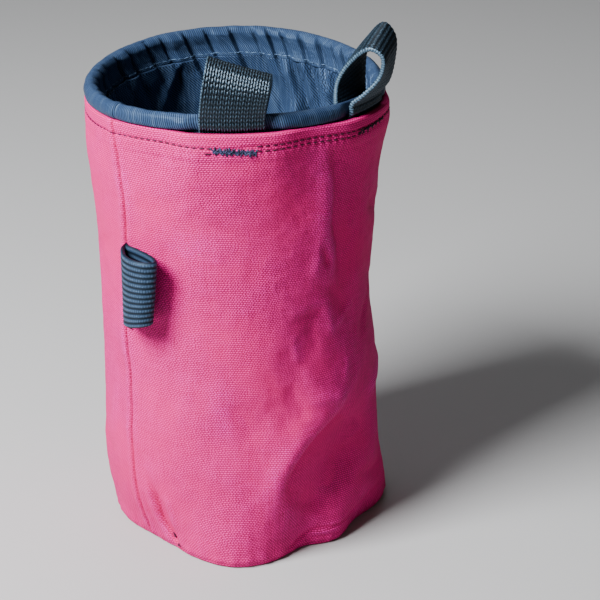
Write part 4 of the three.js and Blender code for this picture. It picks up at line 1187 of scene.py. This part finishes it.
def sew(name, paths, slot, thread, **sizes):
    # paths are (points in mm, outward directions); sizes are the tree's inputs by name, in metres and radians
    vertices, edges, outward = [], [], []
    for line, normals in paths:
        first = len(vertices)
        vertices += [tuple(point * mm) for point in np.asarray(line, float)]
        outward += list(np.broadcast_to(normals, np.shape(line)))
        edges += [(i, i + 1) for i in range(first, len(vertices) - 1)]
    mesh = bpy.data.meshes.new(name + "Path")
    mesh.from_pydata(vertices, edges, [])
    mesh.attributes.new("outward", "FLOAT_VECTOR", "POINT").data.foreach_set("vector", np.array(outward, float).ravel())
    host = bpy.data.objects.new(name + "Path", mesh)
    bpy.context.collection.objects.link(host)
    modifier = host.modifiers.new("stitches", "NODES")
    modifier.node_group = stitching
    inputs = [item for item in stitching.interface.items_tree if item.in_out == "INPUT"]
    sockets = {item.name.lower(): item.identifier for item in inputs}
    for label, value in {**sizes, "thread": thread}.items():
        modifier[sockets[label]] = value
    view = bpy.context.evaluated_depsgraph_get()
    made = bpy.data.meshes.new_from_object(host.evaluated_get(view), depsgraph=view)
    host.modifiers.clear()
    bpy.data.objects.remove(host)
    piece = bpy.data.objects.new(name, made)
    bpy.context.collection.objects.link(piece)
    finishPiece(piece, thread, slot)


def surfaceNormals(line, inwards=False):
    # level outward directions of points round the bag's axis
    line = np.asarray(line, float)
    flat = np.stack([line[:, 0], line[:, 1], 0 * line[:, 0]], 1)
    flat = flat / np.linalg.norm(flat, axis=1)[:, None]
    return -flat if inwards else flat


def onCanvas(azimuth, height, proud):
    azimuth, height = np.asarray(azimuth, float), np.asarray(height, float)
    share = height / hemTopAt(azimuth)
    points, _, _ = canvasSkin(azimuth, share)
    return points + surfaceNormals(points) * proud


def hemLine(first, last, drop, proud=0.16):
    azimuth = np.linspace(first, last, int(abs(last - first) * 2) + 2)
    return onCanvas(azimuth, hemTopAt(azimuth) - drop(azimuth), proud)


loopSpans = [(loop["azimuth"] - 8.6, loop["azimuth"] + 8.6) for loop in beltLoops]
row1 = []
ends = [-180] + [edge for span in loopSpans for edge in span] + [180]
for first, last in zip(ends[::2], ends[1::2]):
    row1.append(hemLine(first, last, hemRowDrop))
row2 = [
    hemLine(loopSpans[0][1], loopSpans[1][0], lambda a: hemRowDrop(a) + 1.9),
    hemLine(-11, loopSpans[0][0], lambda a: hemRowDrop(a) + 1.9 * smoothStep(a, -20, -10)),
]
hemPaths = [(line, surfaceNormals(line)) for line in row1 + row2]
sew("hemStitches", hemPaths, "waxed_canvas", plumThread,
    pitch=0.00295, length=0.0022, width=0.0006, unevenness=0.1, seed=3)

seamShares = np.linspace(0.02, 0.985, 260)
seamLine, _, _ = canvasSkin(seamAt(seamShares), seamShares)
seamPaths = [(seamLine + surfaceNormals(seamLine) * 0.12, surfaceNormals(seamLine))]
sew("seamStitches", seamPaths, "waxed_canvas", plumThread,
    pitch=0.0028, length=0.0024, width=0.0004, unevenness=0.15, seed=5)

foldAngles = np.linspace(-180, 180, 700)
foldPlace = float(np.interp(10.75, rollSection[10:18, 1], chords[10:18]))
foldLine = rimCloth(foldAngles, np.full(len(foldAngles), foldPlace))
foldLine = foldLine + surfaceNormals(foldLine, True) * 0.12
sew("foldStitches", [(foldLine, surfaceNormals(foldLine, True))], "nylon_twill", sheenNavyThread,
    pitch=0.0027, length=0.0026, width=0.00042, unevenness=0.12, seed=7)


def barTack(azimuth, halfWidth, height, drop, inwards):
    turn = np.linspace(-halfWidth, halfWidth, 40)
    level = height - drop * (turn + halfWidth) / (2 * halfWidth)
    if inwards:
        radius = 51.75 + 0.0 * turn
        line = onRim(azimuth + turn, radius, level)
    else:
        line = onCanvas(azimuth + turn, level + 0.35 * np.sin(turn * 2.3 + azimuth), 0.12)
    return line, surfaceNormals(line, inwards)


tacks = [
    barTack(-1.4, 7.4, 182.2, 1.0, False),
    barTack(-1.4, 7.6, 181.0, 0.0, True), barTack(59.5, 7.6, 180.6, 0.0, True),
]
sew("barTacks", tacks, "webbing", navyThread,
    pitch=0.00046, length=0.0035, width=0.0006, slant=1.22, unevenness=0.18, seed=9)
sew("sideTack", [barTack(57.3, 8.8, 181.3, -0.4, False)], "webbing", shadedNavyThread,
    pitch=0.0009, length=0.0026, width=0.0005, slant=0.75, unevenness=0.5, seed=10)

knots = [
    onCanvas([-49.6, -49.2, -49.9], [101.5, 100.3, 98.8], 0.5), onCanvas([-34.2, -33.8, -33.4], [6.4, 5.8, 5.2], 0.4),
    onCanvas([-30.0, -29.6], [3.6, 3.2], 0.3),
]
sew("threadKnots", [(line, surfaceNormals(line)) for line in knots], "waxed_canvas", plumThread,
    pitch=0.0006, length=0.0022, width=0.0009, slant=0.9, unevenness=0.4, seed=13)
print("stitches made")

# Floor, light and camera
bpy.ops.mesh.primitive_plane_add(size=6, location=(0, 0, 0))
floor = bpy.context.object
floor.name = "paleFloor"
floorPaint, floorTree, floorShader = newMaterial("palePaper")
floorShader.inputs["Base Color"].default_value = (0.38, 0.37, 0.36, 1)
floorShader.inputs["Roughness"].default_value = 0.75
floor.data.materials.append(floorPaint)

studio = {
    "key": {"azimuth": -54, "elevation": 44, "distance": 1.05, "size": 0.45, "power": 48, "colour": (0.93, 0.96, 1.0)},
    "fill": {"azimuth": 62, "elevation": 30, "distance": 1.3, "size": 1.0, "power": 0.45, "colour": (1.0, 0.93, 0.88)},
    "back": {"azimuth": 190, "elevation": 62, "distance": 1.1, "size": 0.7, "power": 3.0, "colour": (0.85, 0.92, 1.0)},
}
middle = Vector((0, 0, 0.11))
for label, lamp in studio.items():
    light = bpy.data.lights.new(label + "Softbox", "AREA")
    light.shape, light.size, light.energy, light.color = "SQUARE", lamp["size"], lamp["power"], lamp["colour"]
    holder = bpy.data.objects.new(label + "Softbox", light)
    level = lamp["distance"] * math.cos(math.radians(lamp["elevation"]))
    angle = math.radians(lamp["azimuth"])
    height = lamp["distance"] * math.sin(math.radians(lamp["elevation"]))
    holder.location = middle + Vector((level * math.sin(angle), -level * math.cos(angle), height))
    holder.rotation_euler = (middle - holder.location).to_track_quat("-Z", "Y").to_euler()
    bpy.context.collection.objects.link(holder)
world = bpy.data.worlds.new("paleRoom")
world.use_nodes = True
world.node_tree.nodes["Background"].inputs[0].default_value = (1.0, 0.95, 0.9, 1)
world.node_tree.nodes["Background"].inputs[1].default_value = 0.06
bpy.context.scene.world = world

shot = {"place": (0.0, -0.763, 0.441), "lens": 120, "down": 24.55, "right": 1.85, "roll": -0.25}
lens = bpy.data.cameras.new("photoCamera")
lens.lens, lens.sensor_width = shot["lens"], 36
camera = bpy.data.objects.new("photoCamera", lens)
camera.location = shot["place"]
down, right = math.radians(shot["down"]), math.radians(shot["right"])
ahead = Vector((math.sin(right) * math.cos(down), math.cos(right) * math.cos(down), -math.sin(down)))
sideways = Vector((math.cos(right), -math.sin(right), 0))
upright = sideways.cross(ahead)
turn = Matrix((sideways, upright, -ahead)).transposed() @ Matrix.Rotation(math.radians(shot["roll"]), 3, "Z")
camera.rotation_euler = turn.to_euler()
bpy.context.collection.objects.link(camera)
bpy.context.scene.camera = camera
print("light and camera set")
